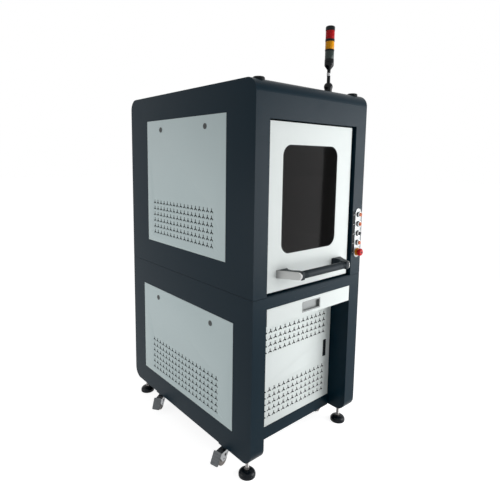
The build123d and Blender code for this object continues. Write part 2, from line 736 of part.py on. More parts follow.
def build_handle():
    z = SEAM + DOOR_BOTTOM_GAP + HANDLE_UP
    y = DOOR_FACE - GRIP_BACK
    save("handle_brackets", [handle_arm(side) for side in (-1, 1)])
    save("handle_covers", [handle_cover(side) for side in (-1, 1)])
    grip = rod_x((-GRIP_END, GRIP_END), y, z, GRIP_R)
    for side in (-1, 1):
        for ring in range(GRIP_RINGS):
            x = side * (GRIP_END - GRIP_RING_T * (2 * ring + 2))
            groove = rod_x((x - GRIP_RING_T / 2, x + GRIP_RING_T / 2), y, z, GRIP_R + 1)
            groove -= rod_x((x - GRIP_RING_T, x + GRIP_RING_T), y, z, GRIP_R - 1)
            grip -= groove
    save("handle_grip", grip)


# Lower door with its vents and latch pocket, and the latch lever
def build_lower_door():
    half = OPEN_HALF - LOWER_DOOR_GAP
    low = BASE + LOWER_RAIL_TOP + LOWER_DOOR_SLIT
    high = BASE + CROSS_RAIL_Z[0] - LOWER_DOOR_SLIT
    back = RECESS_BACK + LOWER_DOOR_T

    def place(across, up):
        return (across, RECESS_BACK, BASE + up)

    wires = []
    for up, rows in ((DOOR_LOW_VENT_UP, DOOR_LOW_VENT_ROWS), (DOOR_HIGH_VENT_UP, DOOR_HIGH_VENT_ROWS)):
        wires += vent_wires((-half, half), DOOR_VENT_ENDS, up, rows, place)
    sheet_up = (low - BASE, high - BASE)
    sheet = vented_sheet((-half, half), sheet_up, wires, place, Vector(0, SKIN, 0))
    returns = block((-half, half), (RECESS_BACK + SKIN, back), (low, high))
    returns -= block((-half + SKIN, half - SKIN), (RECESS_BACK, back + 1), (low + SKIN, high - SKIN))
    door = sheet + returns
    pocket_x = (LATCH_X - LATCH_W / 2, LATCH_X + LATCH_W / 2)
    pocket_z = (BASE + LATCH_Z - LATCH_H / 2, BASE + LATCH_Z + LATCH_H / 2)
    pocket_y = (RECESS_BACK, RECESS_BACK + LATCH_DEPTH)
    door += block(pocket_x, (pocket_y[0] + SKIN, pocket_y[1]), pocket_z)
    hollow_y = (pocket_y[0] - 1, pocket_y[1] - LATCH_WALL)
    door -= block(grown(pocket_x, -LATCH_WALL), hollow_y, grown(pocket_z, -LATCH_WALL))
    pin_y = RECESS_BACK + LEVER_T / 2 - LEVER_PROUD
    door += rod_x(pocket_x, pin_y, pocket_z[1] - LEVER_PIN_DROP, LEVER_PIN_R)
    door += lower_hinge_pin((low - HINGE_PIN_H, low + SKIN), 0)
    return door + lower_hinge_pin((high - SKIN, high + HINGE_PIN_H), 0)


def build_lower_latch():
    pocket_top = BASE + LATCH_Z + LATCH_H / 2
    half = LATCH_W / 2 - LATCH_WALL - LATCH_SLACK
    lever_z = (BASE + LATCH_Z - LATCH_H / 2 + LATCH_WALL + LATCH_SLACK, pocket_top - LATCH_WALL - LATCH_SLACK)
    face = RECESS_BACK - LEVER_PROUD
    lever = block((LATCH_X - half, LATCH_X + half), (face, face + LEVER_T), lever_z)
    top_edges = lever.edges().filter_by(Axis.X).group_by(Axis.Z)[-1]
    lever = fillet(top_edges, (LEVER_T - LEVER_FLAT) / 2)
    bore_x = (LATCH_X - half - 1, LATCH_X + half + 1)
    pin_z = pocket_top - LEVER_PIN_DROP
    return lever - rod_x(bore_x, face + LEVER_T / 2, pin_z, LEVER_PIN_R + RUN_CLEAR)


# Keyboard drawer with its pull, middle members and fixed rails
def build_drawer_tray():
    half = OPEN_HALF - LOWER_DOOR_GAP
    front_z = span(BASE, DRAWER_Z)
    front = block((-half, half), (FRONT, FRONT + DRAWER_FRONT_T), front_z)
    front -= block((-half + SKIN, half - SKIN), (FRONT + SKIN, FRONT + DRAWER_FRONT_T + 1), grown(front_z, -SKIN))
    tray_z = (front_z[0] + TRAY_LIFT, front_z[0] + TRAY_LIFT + TRAY_H)
    tray_y = (FRONT + SKIN, FRONT + TRAY_DEPTH)
    tray = block((-TRAY_HALF, TRAY_HALF), tray_y, tray_z)
    hollow_y = (FRONT + DRAWER_FRONT_T, FRONT + TRAY_DEPTH - TRAY_WALL)
    hollow_x = (-TRAY_HALF + TRAY_WALL, TRAY_HALF - TRAY_WALL)
    tray -= block(hollow_x, hollow_y, (tray_z[0] + TRAY_WALL, tray_z[1] + 1))
    cup_y = (FRONT + SKIN, FRONT + DRAWER_FRONT_T)
    tray -= block(hollow_x, cup_y, (tray_z[0] + TRAY_WALL, tray_z[1] + 1))
    drawer = front + tray
    drawer -= pull_block((FRONT - 1, FRONT + PULL_DEPTH + PULL_FIT), PULL_FIT)
    for side in (-1, 1):
        bar_x = sorted((side * (TRAY_HALF - TRAY_WALL), side * (inner_member_x())))
        bar_z = (BASE + SLIDE_Z - INNER_HEIGHT / 2, BASE + SLIDE_Z + INNER_HEIGHT / 2)
        drawer += block(bar_x, (FRONT + DRAWER_FRONT_T, FRONT + SLIDE_LEN), bar_z)
    return drawer


def inner_member_x():
    """Outer side of the bar that the drawer carries on its slides."""
    return OPEN_HALF - 2 * (SLIDE_WEB + SLIDE_GAP) - SLIDE_GAP


def pull_block(y_limits, margin):
    """Block of the pull's size, with a margin all round."""
    x_limits = grown((PULL_X - PULL_W / 2, PULL_X + PULL_W / 2), margin)
    middle = BASE + (DRAWER_Z[0] + DRAWER_Z[1]) / 2
    z_limits = grown((middle - PULL_H / 2, middle + PULL_H / 2), margin)
    return block(x_limits, y_limits, z_limits)


def build_drawer_pull():
    cup = pull_block((FRONT - SKIN / 2, FRONT + PULL_DEPTH), 0)
    lip = pull_block((FRONT - SKIN / 2, FRONT), PULL_LIP)
    lip = fillet(lip.edges().filter_by(Axis.Y), PULL_LIP)
    cup += lip
    return cup - pull_block((FRONT - SKIN, FRONT + PULL_DEPTH - PULL_WALL), -PULL_WALL)


def channel(side, outer_x, height, lip, y_limits):
    """Slide member of C section, its web towards the cabinet wall and its lips inwards."""
    z_limits = (BASE + SLIDE_Z - height / 2, BASE + SLIDE_Z + height / 2)
    x_limits = sorted((side * outer_x, side * (outer_x - lip)))
    hollow_x = sorted((side * (outer_x - SLIDE_WEB), side * (outer_x - lip - 1)))
    member = block(x_limits, y_limits, z_limits)
    return member - block(hollow_x, grown(y_limits, 1), grown(z_limits, -SLIDE_WEB))


def build_slides():
    slide_y = (FRONT + DRAWER_FRONT_T + SLIDE_LEAD, FRONT + SLIDE_LEN)
    rails = [channel(side, OPEN_HALF, RAIL_HEIGHT, RAIL_LIP, slide_y) for side in (-1, 1)]
    save("drawer_rails", rails)
    middle_x = OPEN_HALF - SLIDE_WEB - SLIDE_GAP
    middles = [channel(side, middle_x, MIDDLE_HEIGHT, MIDDLE_LIP, slide_y) for side in (-1, 1)]
    save("drawer_slides", middles)


# Push buttons and emergency stop
def build_buttons():
    middle = SEAM + (PLATE_Z[0] + PLATE_Z[1]) / 2
    length = PLATE_Z[1] - PLATE_Z[0]
    plate = extrude(SlotOverall(length, PLATE_W, rotation=90), PLATE_T)
    plate = Pos(PLATE_X, FRONT, middle) * Rot(90, 0, 0) * plate
    for z in (*BUTTON_Z, ESTOP_Z):
        plate -= rod_y(PLATE_X, (FRONT - PLATE_T - 1, FRONT + 1), SEAM + z, BUTTON_HOLE_R)
    save("button_plate", plate)
    face = FRONT - PLATE_T
    bore = CAP_R + BEZEL_BORE_GAP
    bezels = []
    for name, z in zip(BUTTON_NAMES, BUTTON_Z):
        height = SEAM + z
        bezel = rod_y(PLATE_X, (face - BEZEL_BASE, face), height, BEZEL_R)
        bezel += rod_y(PLATE_X, (face - BEZEL_REACH, face - BEZEL_BASE), height, BEZEL_NECK_R)
        bezel -= rod_y(PLATE_X, (face - BEZEL_REACH - 1, face + 1), height, bore)
        bezels.append(bezel)
        cap = rod_y(PLATE_X, (face - BEZEL_REACH - CAP_PROUD, face - BEZEL_BASE), height, CAP_R)
        cap = chamfer(cap.edges().filter_by(GeomType.CIRCLE).sort_by(Axis.Y)[0], CAP_CHAMFER)
        cap += rod_y(PLATE_X, (face - BEZEL_BASE, FRONT + SKIN), height, CAP_STEM_R)
        save(name, cap)
    save("button_bezels", bezels)
    height = SEAM + ESTOP_Z
    collar = rod_y(PLATE_X, (face - ESTOP_COLLAR_T, face), height, ESTOP_R)
    collar -= rod_y(PLATE_X, (face - ESTOP_COLLAR_T - 1, face + 1), height, ESTOP_STEM_R + BEZEL_BORE_GAP)
    save("estop_collar", collar)
    head_y = (face - ESTOP_REACH, face - ESTOP_COLLAR_T - ESTOP_GAP)
    head = rod_y(PLATE_X, head_y, height, ESTOP_R)
    head = fillet(head.edges().filter_by(GeomType.CIRCLE).sort_by(Axis.Y)[0], ESTOP_ROUND)
    head += rod_y(PLATE_X, (head_y[1], FRONT + SKIN), height, ESTOP_STEM_R)
    save("estop_head", head)


# Signal tower
def revolved(points, x, y, z):
    """Turned piece from (radius, height) points, standing on a place."""
    return Pos(x, y, z) * revolve(make_face(Polyline(*[(r, 0, h) for r, h in points], close=True)), Axis.Z)


def build_tower():
    x = TOWER_X
    y = FRONT + TOWER_Y
    centre = TOWER_BALL_H - TOWER_BALL_R
    ball = Pos(x, y, ROOF + centre) * Sphere(TOWER_BALL_R)
    ball += rod_z(x, y, (ROOF, ROOF + centre), TOWER_FOOT_R)
    ball -= block((x - TOWER_R, x + TOWER_R), (y - TOWER_R, y + TOWER_R), (ROOF - TOWER_R, ROOF))
    save("tower_base", ball - rod_z(x, y, (ROOF + centre, ROOF + TOWER_TOP), POLE_R))
    save("tower_pole", rod_z(x, y, (ROOF + centre, ROOF + POLE_TOP), POLE_R))
    core = POLE_R
    outline = [(0, POLE_TOP), (core + HOUSING_FOOT, POLE_TOP), (TOWER_R, HOUSING_TAPER)]
    for low, high in LENS_BANDS.values():
        outline += [(TOWER_R, low), (core, low), (core, high), (TOWER_R, high)]
    outline += [(TOWER_R, TOWER_TOP - TOWER_BEVEL), (TOWER_R - TOWER_BEVEL, TOWER_TOP), (0, TOWER_TOP)]
    save("tower_housing", revolved(outline, x, y, ROOF))
    for colour, (low, high) in LENS_BANDS.items():
        lens = rod_z(x, y, (ROOF + low, ROOF + high), LENS_R)
        save(f"tower_lens_{colour}", lens - rod_z(x, y, (ROOF + low - 1, ROOF + high + 1), core))


def build_roof_plugs():
    outline = case(0, (SEAM, ROOF), -1)
    plugs = []
    for x in (-SIDE + PLUG_SIDE, SIDE - PLUG_SIDE):
        for y in (FRONT + PLUG_FRONT, REAR - PLUG_FRONT):
            plug = rod_z(x, y, (ROOF - PLUG_R, ROOF + PLUG_H), PLUG_R)
            top = plug.edges().filter_by(GeomType.CIRCLE).sort_by(Axis.Z)[-1]
            plugs.append(fillet(top, PLUG_ROUND) - outline)
    return plugs


# Levelling feet
def foot_places():
    return [(x, y) for x in (-SIDE + FOOT_SIDE, SIDE - FOOT_SIDE) for y in (FRONT + FOOT_FRONT, REAR - FOOT_FRONT)]


def build_feet():
    pads = []
    stems = []
    rim = FOOT_EDGE
    dome = [(0, 0), (FOOT_R, 0), (FOOT_R, rim), FOOT_SHOULDER, (STEM_R + FOOT_NECK, FOOT_H)]
    dome += [(STEM_R, FOOT_H), (STEM_R, FOOT_H / 2), (0, FOOT_H / 2)]
    for x, y in foot_places():
        pads.append(revolved(dome, x, y, 0))
        stem = rod_z(x, y, (FOOT_H / 2, BASE), STEM_R)
        nut = extrude(RegularPolygon(NUT_R, 6), NUT_H)
        stems.append(stem + Pos(x, y, BASE - NUT_H) * nut + Pos(x, y, FOOT_H) * nut)
    save("foot_pads", pads)
    save("foot_stems", stems)


# Casters, modelled with the swivel axis at the origin and the wheel trailing towards -X
def caster_fork():
    axle_z = CASTER_LIFT + WHEEL_R
    leg_y = WHEEL_W / 2 + FORK_GAP
    crown_low = FORK_TOP - FORK_CROWN_T
    fork = rod_z(0, 0, (crown_low, FORK_TOP), FORK_CROWN_R)
    fork += block((-CASTER_TRAIL - WHEEL_R / 2, 0), (-leg_y - FORK_T, leg_y + FORK_T), (crown_low, FORK_TOP))
    outline = [
        (FORK_CROWN_R / 2, FORK_TOP),
        (FORK_CROWN_R / 2, crown_low),
        (-CASTER_TRAIL + FORK_END, axle_z - FORK_END_DROP),
        (-CASTER_TRAIL - FORK_END, axle_z - FORK_END_DROP),
        (PEDAL_PIVOT[0] - FORK_NOSE, PEDAL_PIVOT[1] - FORK_LIP),
        (PEDAL_PIVOT[0] - FORK_LIP, PEDAL_PIVOT[1] + FORK_NOSE),
        (-CASTER_TRAIL - WHEEL_R / 2, FORK_TOP),
    ]
    leg = make_face(Polyline(*outline, close=True)) - make_face(Polyline(*FORK_WINDOW, close=True))
    leg = extrude(Plane.XZ * leg, FORK_T / 2, both=True)
    for side in (-1, 1):
        fork += Pos(0, side * (leg_y + FORK_T / 2), 0) * leg
    axle_y = grown((-leg_y - FORK_T, leg_y + FORK_T), AXLE_END)
    fork += rod_y(-CASTER_TRAIL, axle_y, axle_z, AXLE_R)
    fork += rod_y(PEDAL_PIVOT[0], (-leg_y - FORK_T, leg_y + FORK_T), PEDAL_PIVOT[1], PEDAL_PIN_R)
    return fork - rod_z(0, 0, (crown_low - 1, FORK_TOP + 1), KINGPIN_R + RUN_CLEAR)


def caster_wheel():
    wheel = rod_y(-CASTER_TRAIL, (-WHEEL_W / 2, WHEEL_W / 2), CASTER_LIFT + WHEEL_R, WHEEL_R)
    wheel = chamfer(wheel.edges().filter_by(GeomType.CIRCLE), WHEEL_EDGE)
    bore_y = (-WHEEL_W, WHEEL_W)
    return wheel - rod_y(-CASTER_TRAIL, bore_y, CASTER_LIFT + WHEEL_R, AXLE_R + RUN_CLEAR)


def caster_pedal():
    top = Vector(*PEDAL_TOP)
    tip = Vector(*PEDAL_TIP)
    along = (tip - top).normalized()
    outward = Vector(along.Y, -along.X)
    if outward.Y < 0:
        outward = -outward
    corners = [top, tip, tip - outward * PEDAL_T, top - outward * PEDAL_T]
    plate = extrude(Plane.XZ * make_face(Polyline(*corners, close=True)), PEDAL_W / 2, both=True)
    plate = fillet(plate.edges().filter_by(lambda edge: abs(edge.length - PEDAL_T) < RUN_CLEAR), PEDAL_CORNER)
    pitch = (tip - top).length / (PEDAL_RIBS + 1)
    for rib in range(PEDAL_RIBS):
        start = top + along * (pitch * (rib + 1))
        end = start + along * PEDAL_RIB_T
        ridge = [start, end, end + outward * PEDAL_RIB_T, start + outward * PEDAL_RIB_T]
        plate += extrude(Plane.XZ * make_face(Polyline(*ridge, close=True)), PEDAL_W / 2 - PEDAL_RIB_INSET, both=True)
    half = WHEEL_W / 2
    pivot = Vector(*PEDAL_PIVOT)
    boss_r = PEDAL_PIN_R + PEDAL_BOSS_WALL
    reach = (top - pivot).dot(outward) - PEDAL_T / 2
    web = [pivot + along * boss_r, pivot - along * boss_r]
    web += [corner + outward * reach for corner in reversed(web)]
    boss = rod_y(PEDAL_PIVOT[0], (-half, half), PEDAL_PIVOT[1], boss_r)
    boss += extrude(Plane.XZ * make_face(Polyline(*web, close=True)), half, both=True)
    pedal = plate + boss
    return pedal - rod_y(PEDAL_PIVOT[0], (-PEDAL_W, PEDAL_W), PEDAL_PIVOT[1], PEDAL_PIN_R + RUN_CLEAR)


def caster_places():
    """Caster name, swivel place and turn about it."""
    places = []
    for row, y in (("f", FRONT + CASTER_FRONT), ("r", REAR - CASTER_REAR)):
        for column, x in (("l", -SIDE + CASTER_SIDE), ("r", SIDE - CASTER_SIDE)):
            name = row + column
            places.append((name, x, y, CASTER_TURNS[name]))
    return places


def build_casters():
    fork = caster_fork()
    wheel = caster_wheel()
    pedal = caster_pedal()
    plates = []
    for name, x, y, turn in caster_places():
        place = Pos(x, y, 0) * Rot(0, 0, turn)
        save(f"caster_fork_{name}", place * fork)
        save(f"caster_wheel_{name}", place * wheel)
        save(f"caster_pedal_{name}", place * pedal)
        half = CASTER_PLATE / 2
        plate = block((x - half, x + half), (y - half, y + half), (BASE - CASTER_PLATE_T, BASE))
        plate += rod_z(x, y, (FORK_TOP + SWIVEL_GAP, BASE - CASTER_PLATE_T), SWIVEL_R)
        plate += rod_z(x, y, (FORK_TOP - FORK_CROWN_T, BASE - CASTER_PLATE_T), KINGPIN_R)
        plates.append(plate)
    save("caster_plates", plates)


# Work table, Z axis column, carriage and scan head in the work chamber
def build_work_table():
    table_y = (FRONT + TABLE_FRONT, FRONT + TABLE_FRONT + TABLE_D)
    top = SEAM + TABLE_T
    table = block((-TABLE_W / 2, TABLE_W / 2), table_y, (SEAM, top))
    for slot in range(SLOT_COUNT):
        x = (slot - (SLOT_COUNT - 1) / 2) * SLOT_PITCH
        table -= block((x - SLOT_NECK / 2, x + SLOT_NECK / 2), grown(table_y, 1), (top - SLOT_LIP, top + 1))
        head_z = (top - SLOT_LIP - SLOT_HEAD_H, top - SLOT_LIP)
        table -= block((x - SLOT_HEAD / 2, x + SLOT_HEAD / 2), grown(table_y, 1), head_z)
    return table


def build_z_axis():
    column_y = (FRONT + COLUMN_Y, FRONT + COLUMN_Y + COLUMN_D)
    half = COLUMN_W / 2
    top = SEAM + COLUMN_H
    column = block((-half, half), column_y, (SEAM, top))
    hollow_z = (SEAM - 1, top - COLUMN_CAP_T)
    hollow = block((-half + COLUMN_WALL, half - COLUMN_WALL), grown(column_y, -COLUMN_WALL), hollow_z)
    column -= hollow
    foot = (SEAM, SEAM + COLUMN_FOOT_T)
    proud = COLUMN_FOOT_PROUD
    column += block((-half - proud, half + proud), (column_y[0], column_y[1] + proud), foot) - hollow
    for side in (-1, 1):
        x = side * RAIL_SPREAD
        rail_y = (column_y[0] - RAIL_PROUD, column_y[0])
        column += block((x - RAIL_W / 2, x + RAIL_W / 2), rail_y, (SEAM + RAIL_FOOT, top - RAIL_HEAD))
    middle = (column_y[0] + column_y[1]) / 2
    motor_y = (middle - MOTOR_W / 2, middle + MOTOR_W / 2)
    column += block((-MOTOR_W / 2, MOTOR_W / 2), motor_y, (top, top + MOTOR_H))
    save("z_axis_column", column)

    low = SEAM + CARRIAGE_LOW
    plate_y = (column_y[0] - RAIL_PROUD - CARRIAGE_T, column_y[0] - RAIL_PROUD + RAIL_PROUD / 2)
    carriage = block((-half, half), plate_y, (low, low + CARRIAGE_H))
    for side in (-1, 1):
        x = side * RAIL_SPREAD
        groove = grown((x - RAIL_W / 2, x + RAIL_W / 2), CARRIAGE_GAP)
        groove_y = (column_y[0] - RAIL_PROUD - CARRIAGE_GAP, column_y[0] + 1)
        carriage -= block(groove, groove_y, (low - 1, low + CARRIAGE_H + 1))
    head_back = FRONT + HEAD_Y + HEAD_D / 2
    arm_z = (low + (CARRIAGE_H - ARM_H) / 2, low + (CARRIAGE_H + ARM_H) / 2)
    arm = block((-ARM_W / 2, ARM_W / 2), (head_back, plate_y[0]), arm_z)
    arm_inner_x = (-ARM_W / 2 + ARM_WALL, ARM_W / 2 - ARM_WALL)
    carriage += arm - block(arm_inner_x, (head_back - 1, plate_y[0]), grown(arm_z, -ARM_WALL))
    save("z_carriage", carriage)

    head_y = (FRONT + HEAD_Y - HEAD_D / 2, head_back)
    centre = (arm_z[0] + arm_z[1]) / 2
    head_z = (centre - HEAD_H / 2, centre + HEAD_H / 2)
    head = block((-HEAD_W / 2, HEAD_W / 2), head_y, head_z)
    head = chamfer(head.edges().filter_by(Axis.Y), HEAD_CHAMFER)
    y = FRONT + HEAD_Y
    neck_low = head_z[0] - LENS_NECK_H
    head += rod_z(0, y, (neck_low, head_z[0]), LENS_NECK_R)
    lens = rod_z(0, y, (neck_low - LENS_BODY_H, neck_low), LENS_BODY_R)
    lens = chamfer(lens.edges().filter_by(GeomType.CIRCLE), LENS_CHAMFER)
    head += lens
    lens_low = neck_low - LENS_BODY_H
    head -= rod_z(0, y, (lens_low - 1, lens_low + LENS_RECESS), LENS_BODY_R - LENS_RIM)
    save("scan_head", head)


# Laser source, control computer and power inlet
def hollow_unit(size, front_y, base_z):
    """Sheet metal box with a round fan opening in its rear wall, and its limits."""
    width, depth, height = size
    x_limits = (-width / 2, width / 2)
    y_limits = (FRONT + front_y, FRONT + front_y + depth)
    z_limits = (base_z, base_z + height)
    unit = block(x_limits, y_limits, z_limits)
    unit -= block(grown(x_limits, -UNIT_WALL), grown(y_limits, -UNIT_WALL), grown(z_limits, -UNIT_WALL))
    fan_y = (y_limits[1] - UNIT_WALL - 1, y_limits[1] + 1)
    fan_z = (z_limits[0] + z_limits[1]) / 2
    for x in (-width / 4, width / 4):
        unit -= rod_y(x, fan_y, fan_z, FAN_R)
    return unit, x_limits, y_limits, z_limits


def build_units():
    floor = BASE + SKIN
    source, x_limits, y_limits, z_limits = hollow_unit(SOURCE_SIZE, SOURCE_Y, floor)
    pitch = (x_limits[1] - x_limits[0] - FIN_T) / (SOURCE_FINS - 1)
    for fin in range(SOURCE_FINS):
        x = x_limits[0] + fin * pitch
        source += block((x, x + FIN_T), y_limits, (z_limits[1], z_limits[1] + FIN_DEPTH))
    save("laser_source", source)
    computer = hollow_unit(COMPUTER_SIZE, COMPUTER_Y, floor)[0]
    save("control_computer", computer)


def build_power_inlet():
    x_limits = (INLET_X - INLET_W / 2, INLET_X + INLET_W / 2)
    z_limits = (BASE + INLET_Z - INLET_H / 2, BASE + INLET_Z + INLET_H / 2)
    inlet = block(x_limits, (REAR, REAR + INLET_REACH), z_limits)
    inlet = fillet(inlet.edges().filter_by(Axis.Y), INLET_WALL)
    socket_y = (REAR + INLET_REACH / 4, REAR + INLET_REACH + 1)
    inlet -= block(grown(x_limits, -2 * INLET_WALL), socket_y, grown(z_limits, -2 * INLET_WALL))
    for x, z in INLET_PINS:
        pin_y = (REAR + INLET_REACH / 4, REAR + INLET_REACH - INLET_PIN_SHORT)
        inlet += rod_y(INLET_X + x, pin_y, BASE + INLET_Z + z, INLET_PIN_R)
    return inlet


save("upper_cabinet", build_upper_cabinet())
save("lower_cabinet", build_lower_cabinet())
build_panels()
save("panel_locks", build_locks())
save("front_door", build_front_door())
save("door_window", build_door_window())
build_struts()
build_handle()
save("lower_door", build_lower_door())
save("lower_latch", build_lower_latch())
save("drawer_tray", build_drawer_tray())
save("drawer_pull", build_drawer_pull())
build_slides()
build_buttons()
build_tower()
save("roof_plugs", build_roof_plugs())
build_feet()
build_casters()
save("work_table", build_work_table())
build_z_axis()
build_units()
save("power_inlet", build_power_inlet())
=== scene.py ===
"""Looks of an enclosed laser marking cabinet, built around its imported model.

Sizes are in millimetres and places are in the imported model's frame: X to the right, Y to the
rear, Z up, floor at zero. Each sub-assembly is a class whose fields are the sizes that the
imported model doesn't hold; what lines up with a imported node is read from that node's box.
A turned profile is a list of (radius, height) points.
"""
import json
import logging
import math
from collections.abc import Iterable, Sequence
from dataclasses import dataclass, field
from enum import Enum

import bmesh
import bpy
from mathutils import Matrix, Vector

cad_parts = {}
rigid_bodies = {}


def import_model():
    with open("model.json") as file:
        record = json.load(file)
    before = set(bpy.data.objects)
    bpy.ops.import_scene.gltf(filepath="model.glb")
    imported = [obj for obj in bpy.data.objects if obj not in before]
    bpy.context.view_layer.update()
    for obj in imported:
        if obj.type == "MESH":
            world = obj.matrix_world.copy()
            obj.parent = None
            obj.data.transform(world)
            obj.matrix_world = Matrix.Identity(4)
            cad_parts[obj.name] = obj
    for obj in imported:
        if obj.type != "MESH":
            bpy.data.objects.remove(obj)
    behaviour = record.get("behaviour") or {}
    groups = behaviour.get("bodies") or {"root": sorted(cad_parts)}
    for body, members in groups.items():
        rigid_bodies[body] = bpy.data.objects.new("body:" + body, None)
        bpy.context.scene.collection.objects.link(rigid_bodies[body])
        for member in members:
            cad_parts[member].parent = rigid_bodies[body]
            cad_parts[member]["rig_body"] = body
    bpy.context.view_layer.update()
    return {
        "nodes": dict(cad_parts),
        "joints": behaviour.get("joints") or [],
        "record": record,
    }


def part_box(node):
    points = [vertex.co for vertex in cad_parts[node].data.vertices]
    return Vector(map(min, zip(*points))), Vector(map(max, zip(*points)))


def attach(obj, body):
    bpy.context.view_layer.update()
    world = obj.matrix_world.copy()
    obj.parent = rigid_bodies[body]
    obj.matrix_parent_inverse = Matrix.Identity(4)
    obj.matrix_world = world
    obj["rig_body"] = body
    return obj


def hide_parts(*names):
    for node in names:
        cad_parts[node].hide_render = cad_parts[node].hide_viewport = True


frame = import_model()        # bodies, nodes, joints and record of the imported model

LOG = logging.getLogger("marking_cabinet")
MM = 0.001
SMOOTH_LIMIT = math.radians(32)
FLAT_LIMIT = math.radians(0.4)
MERGE_LIMIT = 0.0005
WELD_LIMIT = 0.02

Point2 = tuple[float, float]
Point3 = tuple[float, float, float]
Limits = tuple[float, float]
Colour = tuple[float, float, float]
Input = float | Colour | Point2 | bpy.types.NodeSocket


@dataclass(frozen=True)
class Extent:
    """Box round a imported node, in millimetres.

    Attributes:
        low: lowest corner.
        high: highest corner.
    """

    low: Vector
    high: Vector

    @property
    def middle(self) -> Vector:
        """Centre of the box."""
        return (self.low + self.high) / 2

    @property
    def size(self) -> Vector:
        """Lengths of the box's edges."""
        return self.high - self.low

    @property
    def radius(self) -> float:
        """Half of the width: the radius of a round piece that stands upright or faces forward."""
        return self.size.x / 2


def extent(node: str) -> Extent:
    """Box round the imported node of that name."""
    low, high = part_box(node)
    return Extent(low / MM, high / MM)


def body_of(node: str) -> str:
    """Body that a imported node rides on."""
    return frame["nodes"][node]["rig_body"]


def joint_axis(joint: str) -> Vector:
    """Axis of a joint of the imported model, as a unit vector."""
    return Vector(next(row["axis"] for row in frame["joints"] if row["name"] == joint)).normalized()


class Way(Enum):
    """Direction in which the height of a turned form runs, as a turn of +Z about an axis."""

    UP = (0.0, "X")
    FORWARD = (90.0, "X")
    RIGHT = (90.0, "Y")

    def turn(self) -> Matrix:
        """Rotation that brings +Z into this direction."""
        degrees, axis = self.value
        return Matrix.Rotation(math.radians(degrees), 4, axis)


class Wall(Enum):
    """Upright plane in which a flat sheet is laid out, by the sheet's across axis."""

    SIDE = (0.0, 1.0, 0.0)
    FRONT = (1.0, 0.0, 0.0)

    def plane(self, place: float) -> Matrix:
        """Frame of a sheet in this plane.

        Args:
            place: where its mid-plane lies, along X for a side and along Y for a front.

        Returns:
            The matrix that brings the sheet's across, up and thickness axes into the plane.
        """
        across, up = Vector(self.value), Vector((0, 0, 1))
        normal = across.cross(up)
        axes = Matrix((across, up, normal)).transposed().to_4x4()
        return Matrix.Translation([place * abs(part) for part in normal]) @ axes


def arc(centre: Point2, radius: float, start: float, end: float, steps: int) -> list[Point2]:
    """Points on a circle.

    Args:
        centre: middle of the circle.
        radius: its radius.
        start: first angle, in degrees.
        end: last angle, in degrees.
        steps: number of chords.

    Returns:
        The points from start to end, both included.
    """
    angles = [math.radians(start + (end - start) * step / steps) for step in range(steps + 1)]
    return [(centre[0] + radius * math.cos(a), centre[1] + radius * math.sin(a)) for a in angles]


def rounded_rectangle(across: Limits, up: Limits, radius: float, steps: int) -> list[Point2]:
    """Rectangle with round corners.

    Args:
        across: lowest and highest place across.
        up: lowest and highest place upwards.
        radius: radius of the corners.
        steps: chords of a corner.

    Returns:
        Its outline, counter-clockwise.
    """
    left, right = across[0] + radius, across[1] - radius
    bottom, top = up[0] + radius, up[1] - radius
    outline: list[Point2] = []
    corners = ((right, bottom, -90), (right, top, 0), (left, top, 90), (left, bottom, 180))
    for u, v, start in corners:
        outline += arc((u, v), radius, start, start + 90, steps)
    return outline


@dataclass
class NodeKit:
    """Adds nodes to one node tree and joins them.

    Attributes:
        tree: the tree of a material, a world or a node group.
    """

    tree: bpy.types.NodeTree

    def add(self, kind: str, inputs: dict[str | int, Input] | None = None,
            **settings: object) -> bpy.types.Node:
        """Add a node.

        Args:
            kind: Blender's name of the node type.
            inputs: value or source socket for each named or numbered input.
            settings: properties of the node itself.

        Returns:
            The new node.
        """
        node = self.tree.nodes.new(kind)
        for name, value in settings.items():
            setattr(node, name, value)
        for name, value in (inputs or {}).items():
            socket = node.inputs[name]
            if isinstance(value, bpy.types.NodeSocket):
                self.tree.links.new(value, socket)
            elif socket.type == "RGBA":
                socket.default_value = (*value, 1.0)
            else:
                socket.default_value = value
        return node

    def math(self, operation: str, *values: Input, clamp: bool = False) -> bpy.types.NodeSocket:
        """Result of a sum on up to three values."""
        inputs = dict(enumerate(values))
        return self.add("ShaderNodeMath", inputs, operation=operation, use_clamp=clamp).outputs[0]


